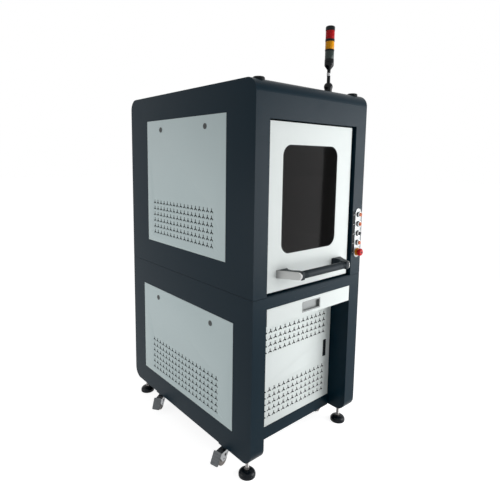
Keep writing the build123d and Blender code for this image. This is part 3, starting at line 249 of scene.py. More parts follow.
@dataclass
class Pattern:
    """Surface pattern laid in a node group; each kind gives its height and its tone.

    Attributes:
        kit: kit of the group.
        place: coordinate on the surface.
        fineness: cells of the pattern to a metre.
    """

    kit: NodeKit
    place: Input
    fineness: Input

    def noise(self, scale: Input, detail: float, **shape: float) -> bpy.types.NodeSocket:
        """Noise of a scale and a detail over the surface."""
        inputs = {"Vector": self.place, "Scale": scale, "Detail": detail, **shape}
        return self.kit.add("ShaderNodeTexNoise", inputs).outputs[0]

    def cells(self) -> bpy.types.Node:
        """Cells of the pattern's fineness."""
        return self.kit.add("ShaderNodeTexVoronoi", {"Vector": self.place, "Scale": self.fineness})

    def mean(self, first: Input, second: Input) -> bpy.types.NodeSocket:
        """Mean of two values."""
        return self.kit.math("MULTIPLY", self.kit.math("ADD", first, second), 0.5)

    def powder(self) -> tuple[Input, Input]:
        """Orange peel of a sprayed and baked coat, with faint cloudy tone."""
        tone = self.mean(self.noise(3.2, 4.0), self.noise(260.0, 1.0))
        return self.noise(self.fineness, 2.0), tone

    def moulded(self) -> tuple[Input, Input]:
        """Fine leather-like grain of spark-eroded moulds."""
        return self.cells().outputs["Distance"], self.noise(28.0, 5.0)

    def brushed(self) -> tuple[Input, Input]:
        """Streaks that run level, as left by a grinding belt.

        Returns:
            Height and tone.
        """
        level = {"Vector": self.place, "Scale": (0.04, 0.04, 1.0)}
        stretched = self.kit.add("ShaderNodeMapping", level).outputs[0]
        streak = Pattern(self.kit, stretched, self.fineness).noise(self.fineness, 3.0)
        return streak, self.mean(streak, self.noise(22.0, 4.0))

    def spangle(self) -> tuple[Input, Input]:
        """Crystal patches of hot-dip zinc."""
        grey = self.kit.add("ShaderNodeSeparateColor", {0: self.cells().outputs["Color"]}).outputs
        return grey[0], grey[1]


class Texture(Enum):
    """Surface pattern of a finish, each a shared node group."""

    POWDER = "powder_grain"
    MOULDED = "moulded_grain"
    BRUSHED = "brushed_streaks"
    SPANGLE = "zinc_spangle"


class EffectLibrary:
    """Shared node groups, each built the first time that a finish asks for it."""

    @staticmethod
    def start(name: str, inputs: dict[str, float],
              outputs: Sequence[str]) -> tuple[NodeKit, bpy.types.Node, bpy.types.Node]:
        """Open a new group with a coordinate input and the named sockets.

        Args:
            name: name of the group.
            inputs: float inputs with their default values.
            outputs: float outputs.

        Returns:
            The group's kit, its input node and its output node.
        """
        tree = bpy.data.node_groups.new(name, "ShaderNodeTree")
        tree.interface.new_socket("Place", in_out="INPUT", socket_type="NodeSocketVector")
        for label, value in inputs.items():
            socket = tree.interface.new_socket(label, in_out="INPUT", socket_type="NodeSocketFloat")
            socket.default_value = value
        for label in outputs:
            tree.interface.new_socket(label, in_out="OUTPUT", socket_type="NodeSocketFloat")
        kit = NodeKit(tree)
        return kit, kit.add("NodeGroupInput"), kit.add("NodeGroupOutput")

    def texture(self, texture: Texture) -> bpy.types.NodeTree:
        """Node group of a surface pattern.

        Args:
            texture: the pattern.

        Returns:
            The group: Place and Fineness in, Height and Tone out.
        """
        known = bpy.data.node_groups.get(texture.value)
        if known:
            return known
        kit, source, sink = self.start(texture.value, {"Fineness": 900.0}, ("Height", "Tone"))
        pattern = Pattern(kit, source.outputs["Place"], source.outputs["Fineness"])
        kinds = {Texture.POWDER: pattern.powder, Texture.MOULDED: pattern.moulded,
                 Texture.BRUSHED: pattern.brushed, Texture.SPANGLE: pattern.spangle}
        for label, value in zip(("Height", "Tone"), kinds[texture]()):
            kit.tree.links.new(value, sink.inputs[label])
        return kit.tree

    def marks(self) -> bpy.types.NodeTree:
        """Node group of handling marks and settled dust.

        Returns:
            The group: Place, Spread and Level in, Marks and Dust out.
        """
        known = bpy.data.node_groups.get("handling_marks")
        if known:
            return known
        inputs = {"Spread": 7.0, "Level": 0.55}
        kit, source, sink = self.start("handling_marks", inputs, ("Marks", "Dust"))
        surface = Pattern(kit, source.outputs["Place"], 0.0)
        wide = surface.noise(source.outputs["Spread"], 6.0, Roughness=0.62, Distortion=0.6)
        over = kit.math("SUBTRACT", wide, source.outputs["Level"])
        mask = kit.math("MULTIPLY", over, 5.0, clamp=True)
        normal = kit.add("ShaderNodeNewGeometry").outputs["Normal"]
        upward = kit.add("ShaderNodeSeparateXYZ", {0: normal}).outputs["Z"]
        lying = kit.math("MULTIPLY", upward, 0.6, clamp=True)
        dust = kit.math("MULTIPLY", lying, surface.noise(60.0, 8.0))
        kit.tree.links.new(mask, sink.inputs["Marks"])
        kit.tree.links.new(dust, sink.inputs["Dust"])
        return kit.tree


EFFECTS = EffectLibrary()
DUST_COLOUR: Colour = (0.30, 0.29, 0.27)


@dataclass(frozen=True)
class Finish:
    """Finish of a surface: colour, gloss, pattern and the marks that use leaves.

    Attributes:
        name: name of the material.
        slot: material slot of the record that it belongs to.
        colour: linear base colour.
        roughness: roughness of the clean surface.
        metallic: 1 for bare metal.
        texture: surface pattern.
        fineness: cells of the pattern to a metre.
        relief: depth of the pattern.
        tone: share by which the colour varies.
        marks: roughness that handling marks add.
        dust: share of dust on faces that look up.
        specular: specular level of the shader.
        transmission: weight of transmitted light.
        subsurface: weight of light that scatters under the surface.
        ior: index of refraction.
    """

    name: str
    slot: str
    colour: Colour
    roughness: float
    metallic: float = 0.0
    texture: Texture = Texture.MOULDED
    fineness: float = 900.0
    relief: float = 0.02
    tone: float = 0.08
    marks: float = 0.08
    dust: float = 0.10
    specular: float = 0.5
    transmission: float = 0.0
    subsurface: float = 0.0
    ior: float = 1.5

    def material(self) -> bpy.types.Material:
        """Material of this finish, built the first time that a piece asks for it.

        Returns:
            The material.
        """
        known = bpy.data.materials.get(self.name)
        if known:
            return known
        material = bpy.data.materials.new(self.name)
        material.use_nodes = True
        material.node_tree.nodes.clear()
        kit = NodeKit(material.node_tree)
        place = kit.add("ShaderNodeTexCoord").outputs["Object"]
        pattern = kit.add("ShaderNodeGroup", node_tree=EFFECTS.texture(self.texture))
        marks = kit.add("ShaderNodeGroup", node_tree=EFFECTS.marks())
        pattern.inputs["Fineness"].default_value = self.fineness
        for group in (pattern, marks):
            kit.tree.links.new(place, group.inputs["Place"])
        dark = tuple(channel * (1 - self.tone) for channel in self.colour)
        light = tuple(min(channel * (1 + self.tone), 1.0) for channel in self.colour)
        tones = {0: pattern.outputs["Tone"], 6: dark, 7: light}
        tone = kit.add("ShaderNodeMix", tones, data_type="RGBA").outputs[2]
        dust = kit.math("MULTIPLY", marks.outputs["Dust"], self.dust)
        dusted = {0: dust, 6: tone, 7: DUST_COLOUR}
        colour = kit.add("ShaderNodeMix", dusted, data_type="RGBA").outputs[2]
        rough = kit.math("MULTIPLY_ADD", marks.outputs["Marks"], self.marks, self.roughness)
        bump = {"Height": pattern.outputs["Height"], "Distance": self.relief * MM}
        shader = kit.add("ShaderNodeBsdfPrincipled", {
            "Base Color": colour,
            "Roughness": rough,
            "Normal": kit.add("ShaderNodeBump", bump).outputs[0],
            "Metallic": self.metallic,
            "Specular IOR Level": self.specular,
            "Transmission Weight": self.transmission,
            "Subsurface Weight": self.subsurface,
            "Subsurface Radius": (0.004, 0.004, 0.004),
            "IOR": self.ior,
        })
        kit.add("ShaderNodeOutputMaterial", {"Surface": shader.outputs[0]})
        return material


CABINET_PAINT = Finish(
    "navy_powder_coat", "cabinet_paint", (0.0006, 0.0130, 0.0235), 0.35, texture=Texture.POWDER,
    relief=0.05, tone=0.12, marks=0.06, specular=0.09, dust=0.01)
PANEL_PAINT = Finish(
    "grey_white_powder_coat", "panel_paint", (0.60, 0.71, 0.72), 0.40, texture=Texture.POWDER,
    relief=0.05, tone=0.03, marks=0.10, specular=0.25, dust=0.02)
DOOR_PAINT = Finish(
    "white_powder_coat", "door_paint", (0.75, 0.80, 0.79), 0.42, texture=Texture.POWDER,
    relief=0.05, tone=0.025, specular=0.12, dust=0.02)
UNIT_PAINT = Finish(
    "unit_black_enamel", "unit_paint", (0.03, 0.033, 0.036), 0.4, texture=Texture.POWDER,
    relief=0.05, tone=0.1)
WINDOW_GLASS = Finish(
    "smoked_window", "window_glass", (0.022, 0.008, 0.008), 0.05, texture=Texture.POWDER,
    fineness=40.0, relief=0.01, tone=0.05, marks=0.05, transmission=1.0, dust=0.0, ior=1.1)
HANDLE_PLASTIC = Finish(
    "handle_plastic_grain", "handle_plastic", (0.018, 0.026, 0.032), 0.40, relief=0.04,
    tone=0.12, marks=0.12, specular=0.08, dust=0.02)
HANDLE_METAL = Finish(
    "handle_satin_cover", "handle_metal", (0.40, 0.41, 0.405), 0.36, 1.0, Texture.BRUSHED, 2600.0,
    tone=0.10, marks=0.12)
PLATE_METAL = Finish(
    "control_plate_satin", "handle_metal", (0.40, 0.42, 0.425), 0.38, 0.4, Texture.BRUSHED, 2600.0,
    tone=0.06, marks=0.12, specular=0.3)
BEZEL_METAL = Finish(
    "button_bezel_chrome", "bright_metal", (0.78, 0.79, 0.79), 0.28, 1.0, Texture.BRUSHED, 1500.0,
    relief=0.01, tone=0.06, marks=0.15)
FORK_METAL = Finish(
    "caster_fork_zinc_plate", "bright_metal", (0.40, 0.41, 0.42), 0.30, 1.0, Texture.SPANGLE, 120.0,
    relief=0.01, tone=0.12, marks=0.2)
STEM_METAL = Finish(
    "foot_stem_steel", "bright_metal", (0.27, 0.26, 0.255), 0.30, 1.0, Texture.BRUSHED, 1500.0,
    relief=0.01, tone=0.15, marks=0.2)
BRIGHT_METAL = Finish(
    "bright_plated_metal", "bright_metal", (0.60, 0.61, 0.61), 0.16, 1.0, Texture.BRUSHED, 1500.0,
    relief=0.01, marks=0.20)
# Near-black metal of the panel locks, darkened as a whole.
LOCK_METAL = Finish(
    "lock_dark_nickel", "bright_metal", (0.06, 0.065, 0.065), 0.30, 1.0, Texture.BRUSHED, 1500.0,
    relief=0.01, tone=0.15, marks=0.20)
PULL_METAL = Finish(
    "pull_satin_cup", "bright_metal", (0.27, 0.285, 0.285), 0.42, 0.3,
    tone=0.06, marks=0.12, specular=0.3)
SHEET_ZINC = Finish(
    "zinc_coated_sheet", "sheet_zinc", (0.40, 0.41, 0.42), 0.34, 1.0, Texture.SPANGLE, 90.0,
    relief=0.01, tone=0.16, marks=0.16)
ALUMINIUM = Finish(
    "machined_aluminium_face", "machined_aluminium", (0.62, 0.63, 0.64), 0.30, 1.0,
    Texture.BRUSHED, 1800.0, marks=0.14)
BLACK_PLASTIC = Finish(
    "black_moulded_plastic", "black_plastic", (0.007, 0.009, 0.011), 0.42, relief=0.03,
    tone=0.2, marks=0.12, specular=0.10, dust=0.02)
BLACK_GLOSS = Finish(
    "black_gloss_plastic", "black_gloss", (0.004, 0.006, 0.008), 0.16, fineness=300.0,
    relief=0.005, tone=0.2, marks=0.14, specular=0.18, dust=0.01)
BLACK_RUBBER = Finish(
    "black_foot_rubber", "black_rubber", (0.003, 0.006, 0.010), 0.22, relief=0.03,
    tone=0.2, marks=0.2, specular=0.16, dust=0.02)
# Near-black foam behind the vents: painted shade inside the cabinet, so the vents stay dark.
VENT_SHADE_FOAM = Finish(
    "dust_filter_foam", "black_plastic", (0.006, 0.008, 0.010), 0.85, relief=0.3,
    tone=0.3, marks=0.05, specular=0.05, dust=0.02)
WHEEL_PLASTIC = Finish(
    "caster_wheel_tread", "wheel_plastic", (0.24, 0.215, 0.20), 0.44, relief=0.05,
    tone=0.14, marks=0.2, dust=0.3)
PEDAL_PLASTIC = Finish(
    "brake_pedal_plastic", "pedal_plastic", (0.155, 0.170, 0.182), 0.34, relief=0.04,
    tone=0.1, marks=0.15, specular=0.3, dust=0.03)
WHITE_PLASTIC = Finish("white_collar_plastic", "door_paint", (0.72, 0.73, 0.74), 0.35, relief=0.01)
ORANGE_CAP = Finish(
    "amber_button_cap", "orange_cap", (0.46, 0.085, 0.010), 0.30, relief=0.01,
    tone=0.14, subsurface=0.2, specular=0.15, dust=0.0)
BLACK_CAP = Finish(
    "black_button_cap", "black_gloss", (0.005, 0.008, 0.013), 0.26, relief=0.01,
    specular=0.1, dust=0.0)
STOP_RED = Finish(
    "stop_button_red", "stop_red", (0.52, 0.004, 0.008), 0.32, relief=0.01,
    specular=0.15, dust=0.0)
STOP_YELLOW = Finish(
    "stop_collar_yellow", "stop_yellow", (0.74, 0.25, 0.012), 0.36, relief=0.01,
    specular=0.2, dust=0.0)
LENS_RED = Finish(
    "tower_lens_red_glow", "lens_red", (0.50, 0.003, 0.006), 0.26, relief=0.01,
    subsurface=0.15, specular=0.15, dust=0.0)
LENS_AMBER = Finish(
    "tower_lens_amber_glow", "lens_amber", (0.88, 0.37, 0.002), 0.26, relief=0.01,
    subsurface=0.15, specular=0.15, dust=0.0)
LENS_GREEN = Finish(
    "tower_lens_green_unlit", "lens_green", (0.020, 0.040, 0.036), 0.20, relief=0.01,
    subsurface=0.1, specular=0.3)

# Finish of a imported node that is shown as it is, by its slot
FINISH_BY_SLOT = {finish.slot: finish for finish in (
    CABINET_PAINT, PANEL_PAINT, DOOR_PAINT, UNIT_PAINT, WINDOW_GLASS, HANDLE_PLASTIC, HANDLE_METAL,
    BRIGHT_METAL, SHEET_ZINC, ALUMINIUM, BLACK_PLASTIC, BLACK_GLOSS, BLACK_RUBBER, WHEEL_PLASTIC,
    PEDAL_PLASTIC, ORANGE_CAP, STOP_RED, STOP_YELLOW, LENS_RED, LENS_AMBER, LENS_GREEN)}


@dataclass
class Workpiece:
    """Mesh in the making, in millimetres, that ends as one object riding on a body."""

    form: bmesh.types.BMesh = field(default_factory=bmesh.new)

    def box(self, x: Limits, y: Limits, z: Limits) -> "Workpiece":
        """Add a box.

        Args:
            x: its limits along X.
            y: its limits along Y.
            z: its limits along Z.

        Returns:
            This workpiece.
        """
        low, high = (Vector(corner) for corner in zip(x, y, z))
        matrix = Matrix.Translation((low + high) / 2) @ Matrix.Diagonal((*(high - low), 1.0))
        bmesh.ops.create_cube(self.form, size=1.0, matrix=matrix)
        return self

    def turned(self, profile: Sequence[Point2], place: Vector, way: Way | Vector = Way.UP,
               steps: int = 48, flutes: int = 0, flute_depth: float = 0.0,
               closed: bool = False) -> "Workpiece":
        """Add a turned form.

        Args:
            profile: its outline.
            place: where height 0 lies on the axis.
            way: direction of the axis, by name or as a vector.
            steps: corners of each ring.
            flutes: number of hollows round the form.
            flute_depth: depth of the hollows.
            closed: whether the last ring joins the first, as in a tube.

        Returns:
            This workpiece.
        """
        if isinstance(way, Way):
            turn = way.turn()
        else:
            turn = way.to_track_quat("Z", "Y").to_matrix().to_4x4()
        turn = Matrix.Translation(place) @ turn
        rings: list[list[bmesh.types.BMVert]] = []
        for radius, height in profile:
            if radius <= 0:
                rings.append([self.form.verts.new(turn @ Vector((0, 0, height)))])
                continue
            ring = []
            for step in range(steps):
                angle = math.tau * (step + 0.5) / steps
                reach = radius - flute_depth * (1 - math.cos(flutes * angle)) / 2
                corner = Vector((reach * math.cos(angle), reach * math.sin(angle), height))
                ring.append(self.form.verts.new(turn @ corner))
            rings.append(ring)
        for lower, upper in zip(rings, rings[1:]):
            self.bridge(lower, upper)
        if closed:
            self.bridge(rings[-1], rings[0])
        return self

    def bridge(self, lower: list[bmesh.types.BMVert], upper: list[bmesh.types.BMVert]) -> None:
        """Join two rings, either of which may be one point on the axis.

        Args:
            lower: corners of the first ring.
            upper: corners of the second.
        """
        count = max(len(lower), len(upper))
        for step in range(count):
            after = (step + 1) % count
            corners = [lower[step % len(lower)], lower[after % len(lower)],
                       upper[after % len(upper)], upper[step % len(upper)]]
            self.form.faces.new(dict.fromkeys(corners))

    def prism(self, outline: Sequence[Point2], limits: Limits) -> "Workpiece":
        """Add an outline seen from above, drawn out between two heights.

        Args:
            outline: its corners.
            limits: the two heights.

        Returns:
            This workpiece.
        """
        low, high = ([self.form.verts.new((*point, height)) for point in outline]
                     for height in limits)
        self.form.faces.new(low)
        self.form.faces.new(high)
        self.bridge(low, high)
        return self

    def sheet(self, outline: Sequence[Point2], holes: Iterable[Sequence[Point2]], thickness: float,
              edge: float, matrix: Matrix) -> "Workpiece":
        """Add a flat sheet with holes and rounded edges.

        Args:
            outline: outer outline, counter-clockwise.
            holes: outlines of the holes, counter-clockwise too.
            thickness: thickness of the sheet.
            edge: radius of its edges.
            matrix: brings the sheet's own axes, with its mid-plane at 0, to their place.

        Returns:
            This workpiece.
        """
        curve = bpy.data.curves.new("sheet_outline", "CURVE")
        curve.dimensions = "2D"
        curve.fill_mode = "BOTH"
        for loop in (list(outline), *(list(reversed(hole)) for hole in holes)):
            spline = curve.splines.new("POLY")
            spline.points.add(len(loop) - 1)
            for point, (u, v) in zip(spline.points, loop):
                point.co = (u, v, 0, 1)
            spline.use_cyclic_u = True
        curve.extrude = thickness / 2 - edge
        curve.bevel_depth = edge
        curve.bevel_resolution = 1
        curve.offset = -edge
        holder = bpy.data.objects.new("sheet_outline", curve)
        mesh = bpy.data.meshes.new_from_object(holder)
        mesh.transform(matrix)
        self.form.from_mesh(mesh)
        bpy.data.objects.remove(holder)
        bpy.data.curves.remove(curve)
        bpy.data.meshes.remove(mesh)
        return self

    def place(self, name: str, finish: Finish, body: str, replaces: Sequence[str] = (),
              bevel: float = 0.0, segments: int = 2) -> None:
        """End the mesh as an object.

        Args:
            name: name of the object.
            finish: its finish.
            body: body that it rides on.
            replaces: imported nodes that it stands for.
            bevel: width of a bevel on its sharp edges.
            segments: steps of that bevel.
        """
        bmesh.ops.remove_doubles(self.form, verts=self.form.verts, dist=MERGE_LIMIT)
        bmesh.ops.recalc_face_normals(self.form, faces=self.form.faces)
        self.form.transform(Matrix.Scale(MM, 4))
        for face in self.form.faces:
            face.smooth = True
        for edge in self.form.edges:
            edge.smooth = edge.calc_face_angle(0.0) < SMOOTH_LIMIT
        mesh = bpy.data.meshes.new(name)
        self.form.to_mesh(mesh)
        self.form.free()
        mesh.materials.append(finish.material())
        piece = bpy.data.objects.new(name, mesh)
        bpy.context.scene.collection.objects.link(piece)
        if bevel:
            soften(piece, bevel, segments)
        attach(piece, body)
        if replaces:
            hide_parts(*replaces)
        LOG.info("made %s with %d faces on %s", name, len(mesh.polygons), body)


def soften(piece: bpy.types.Object, width: float, segments: int = 2) -> None:
    """Round a piece's sharp edges by modifiers.

    Args:
        piece: object to soften.
        width: width of the rounding, in millimetres.
        segments: steps of the rounding.
    """
    bevel = piece.modifiers.new("edge_round", "BEVEL")
    bevel.width = width * MM
    bevel.segments = segments
    bevel.limit_method = "ANGLE"
    bevel.angle_limit = SMOOTH_LIMIT
    bevel.use_clamp_overlap = True
    bevel.harden_normals = False
    weighted = piece.modifiers.new("even_shading", "WEIGHTED_NORMAL")
    weighted.keep_sharp = True


def dress(node: str, bevel: float = 0.0, finish: Finish | None = None) -> None:
    """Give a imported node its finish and, where asked, rounded edges.

    Args:
        node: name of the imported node.
        bevel: width of the rounding on its edges, in millimetres.
        finish: finish to use in place of the one that its slot names.
    """
    piece = frame["nodes"][node]
    slots = {part["node"]: part["material_slot"] for part in frame["record"]["subparts"]}
    chosen = finish or FINISH_BY_SLOT[slots[node]]
    if not piece.material_slots:
        piece.data.materials.append(None)
    for slot in piece.material_slots:
        slot.material = chosen.material()
    if bevel:
        weld = piece.modifiers.new("one_skin", "WELD")
        weld.merge_threshold = WELD_LIMIT * MM
        flat = piece.modifiers.new("whole_faces", "DECIMATE")
        flat.decimate_type = "DISSOLVE"
        flat.angle_limit = FLAT_LIMIT
        soften(piece, bevel)
    LOG.info("dressed %s with %s", node, chosen.name)


@dataclass(frozen=True)
class Softbox:
    """Rectangular soft light that faces a point.

    Attributes:
        name: its name.
        place: its middle, in metres.
        aim: the point, in metres.
        size: its width and height, in metres.
        power: its power, in watts.
    """

    name: str
    place: Point3
    aim: Point3
    size: Point2
    power: float

    def build(self) -> None:
        """Hang the light and turn it to its point."""
        data = bpy.data.lights.new(self.name, "AREA")
        data.shape = "RECTANGLE"
        data.size, data.size_y = self.size
        data.energy = self.power
        lamp = bpy.data.objects.new(self.name, data)
        facing = (Vector(self.aim) - Vector(self.place)).to_track_quat("-Z", "Y")
        lamp.matrix_world = Matrix.Translation(self.place) @ facing.to_matrix().to_4x4()
        bpy.context.scene.collection.objects.link(lamp)


@dataclass
class Studio:
    """Camera, lights, floor and background.

    Attributes:
        eye: camera's place, in metres.
        yaw: turn from +Y towards +X, in radians.
        pitch: upward tilt, in radians.
        roll: roll about the view axis, in radians.
        sensor: width of the sensor.
        lens: focal length.
        shift: shift of the picture that frames it as the photograph is framed.
        lights: key and strip in front of the cabinet, and fill at its left.
        sky: brightness of the background as a light.
        floor_size: edge of the floor, in metres.
        floor_colour: linear base colour of the floor.
        floor_glow: share of its own light in the floor as it is seen.
        floor_strength: strength of that light.
    """

    eye: Point3 = (-1.536448, -1.800195, 1.440657)
    yaw: float = 0.7115
    pitch: float = -0.1258
    roll: float = 0.0141
    sensor: float = 36.0
    lens: float = 30.92
    shift: Point2 = (0.0077, -0.0713)
    lights: tuple[Softbox, ...] = (
        Softbox("key_softbox", (1.40, -2.3, 1.15), (0.0, -0.5, 1.0), (1.15, 2.1), 40.0),
        Softbox("strip_softbox", (3.05, -2.3, 1.15), (0.0, -0.5, 1.0), (0.6, 2.1), 32.0),
        Softbox("fill_softbox", (-2.5, 0.7, 0.75), (-0.38, 0.05, 0.7), (1.6, 1.1), 13.0))
    sky: float = 0.32
    floor_size: float = 60.0
    floor_colour: Colour = (0.86, 0.86, 0.86)
    floor_glow: float = 0.4
    floor_strength: float = 2.15

    def build(self) -> None:
        """Set up the whole studio."""
        self.build_camera()
        for light in self.lights:
            light.build()
        self.build_world()
        self.build_floor()
        bpy.context.scene.view_settings.view_transform = "Standard"

    def build_camera(self) -> None:
        """Camera at the photograph's place, with its tilt and framing."""
        level = Vector((math.cos(self.yaw), -math.sin(self.yaw), 0))
        ahead = math.cos(self.pitch) * Vector((math.sin(self.yaw), math.cos(self.yaw), 0))
        forward = ahead + Vector((0, 0, math.sin(self.pitch)))
        upright = level.cross(forward)
        right = math.cos(self.roll) * level + math.sin(self.roll) * upright
        up = -math.sin(self.roll) * level + math.cos(self.roll) * upright
        data = bpy.data.cameras.new("studio_camera")
        data.sensor_width = self.sensor
        data.lens = self.lens
        data.shift_x, data.shift_y = self.shift
        camera = bpy.data.objects.new("studio_camera", data)
        turn = Matrix((right, up, -forward)).transposed().to_4x4()
        camera.matrix_world = Matrix.Translation(self.eye) @ turn
        bpy.context.scene.collection.objects.link(camera)
        bpy.context.scene.camera = camera

    def seen_directly(self, kit: NodeKit) -> Input:
        """Mask of the rays that come from the camera, a reflection or glass.

        Args:
            kit: kit of the material or world.

        Returns:
            1 for such a ray, and 0 for one that lights the object.
        """
        path = kit.add("ShaderNodeLightPath").outputs
        first = kit.math("ADD", path["Is Camera Ray"], path["Is Glossy Ray"])
        return kit.math("ADD", first, path["Is Transmission Ray"], clamp=True)

    def build_world(self) -> None:
        """White background that lights the object at the sky's brightness."""
        world = bpy.data.worlds.new("studio_world")
        world.use_nodes = True
        world.node_tree.nodes.clear()
        kit = NodeKit(world.node_tree)
        seen = self.seen_directly(kit)
        light, white = (
            kit.add("ShaderNodeBackground",
                    {"Color": (1.0, 1.0, 1.0), "Strength": strength}).outputs[0]
            for strength in (self.sky, 1.0))
        mix = kit.add("ShaderNodeMixShader", {0: seen, 1: light, 2: white})
        kit.add("ShaderNodeOutputWorld", {"Surface": mix.outputs[0]})
        bpy.context.scene.world = world

    def build_floor(self) -> None:
        """Plain pale floor that runs into the background and keeps the shadow."""
        half = self.floor_size / 2
        corners = [(-half, -half, 0), (half, -half, 0), (half, half, 0), (-half, half, 0)]
        mesh = bpy.data.meshes.new("studio_floor")
        mesh.from_pydata(corners, [], [(0, 1, 2, 3)])
        material = bpy.data.materials.new("pale_floor")
        material.use_nodes = True
        material.node_tree.nodes.clear()
        kit = NodeKit(material.node_tree)
        glow = kit.math("MULTIPLY", self.seen_directly(kit), self.floor_glow)
        matt = kit.add("ShaderNodeBsdfPrincipled", {
            "Base Color": self.floor_colour, "Roughness": 0.9, "Specular IOR Level": 0.0})
        white = kit.add("ShaderNodeEmission", {
            "Color": (1.0, 1.0, 1.0), "Strength": self.floor_strength})
        mix = kit.add("ShaderNodeMixShader", {0: glow, 1: matt.outputs[0], 2: white.outputs[0]})
        kit.add("ShaderNodeOutputMaterial", {"Surface": mix.outputs[0]})
        mesh.materials.append(material)
        floor = bpy.data.objects.new("studio_floor", mesh)
        bpy.context.scene.collection.objects.link(floor)


@dataclass(frozen=True)
class VentField:
    """Square grid of three-armed vents.

    Attributes:
        columns: vents across.
        rows: vents up.
        start: first vent, from the sheet's lower left corner.
        pitch: distance from vent to vent.
        reach: length of an arm from the middle.
        width: width of an arm.
        tip_steps: chords of an arm's round tip.
        margin: border of the black mat that paints shade behind the vents, round the outer vents,
            as a share of the pitch.
    """

    columns: int
    rows: int
    start: Point2
    pitch: float = 33.0
    reach: float = 14.0
    width: float = 6.2
    tip_steps: int = 4
    margin: float = 0.6

    def star(self, u: float, v: float) -> list[Point2]:
        """Outline of one vent.

        Args:
            u: its middle, across.
            v: its middle, upwards.

        Returns:
            The outline, counter-clockwise.
        """
        half = self.width / 2
        shaft = self.reach - half
        notch = half / math.sin(math.radians(60))
        outline: list[Point2] = []
        for arm in (90, 210, 330):
            angle, corner = math.radians(arm), math.radians(arm + 60)
            tip = (u + shaft * math.cos(angle), v + shaft * math.sin(angle))
            outline += arc(tip, half, arm - 90, arm + 90, self.tip_steps)
            outline.append((u + notch * math.cos(corner), v + notch * math.sin(corner)))
        return outline

    def outlines(self, corner: Point2) -> list[list[Point2]]:
        """Outlines of all vents.

        Args:
            corner: lower left corner of the sheet.

        Returns:
            An outline for each vent.
        """
        return [self.star(corner[0] + self.start[0] + column * self.pitch,
                          corner[1] + self.start[1] + row * self.pitch)
                for column in range(self.columns) for row in range(self.rows)]

    def limits(self, corner: Point2) -> tuple[Limits, Limits]:
        """Area of the field with its border.

        Args:
            corner: lower left corner of the sheet.

        Returns:
            Its limits across and upwards.
        """
        border = self.pitch * self.margin
        across, up = (
            (corner[axis] + self.start[axis] - border,
             corner[axis] + self.start[axis] + (count - 1) * self.pitch + border)
            for axis, count in enumerate((self.columns, self.rows)))
        return across, up


@dataclass(frozen=True)
class VentShadeMat:
    """Thin black foam mat behind a field of vents: painted shade that keeps the vents dark in every
    view.

    Attributes:
        thickness: its thickness.
        gap: gap between mat and sheet.
        corner: radius of its corners.
        edge: rounding of its edges.
    """

    thickness: float = 3.0
    gap: float = 0.4
    corner: float = 3.0
    edge: float = 0.6

    def add(self, piece: Workpiece, vents: VentField, corner: Point2, wall: Wall, face: float,
            inward: int) -> None:
        """Add the mat of one field to a workpiece.

        Args:
            piece: the workpiece.
            vents: the field.
            corner: lower left corner of the sheet.
            wall: plane of the sheet.
            face: place of the sheet's inner face.
            inward: 1 or -1, the direction into the cabinet.
        """
        across, up = vents.limits(corner)
        outline = rounded_rectangle(across, up, self.corner, 3)
        plane = wall.plane(face + inward * (self.gap + self.thickness / 2))
        piece.sheet(outline, [], self.thickness, self.edge, plane)


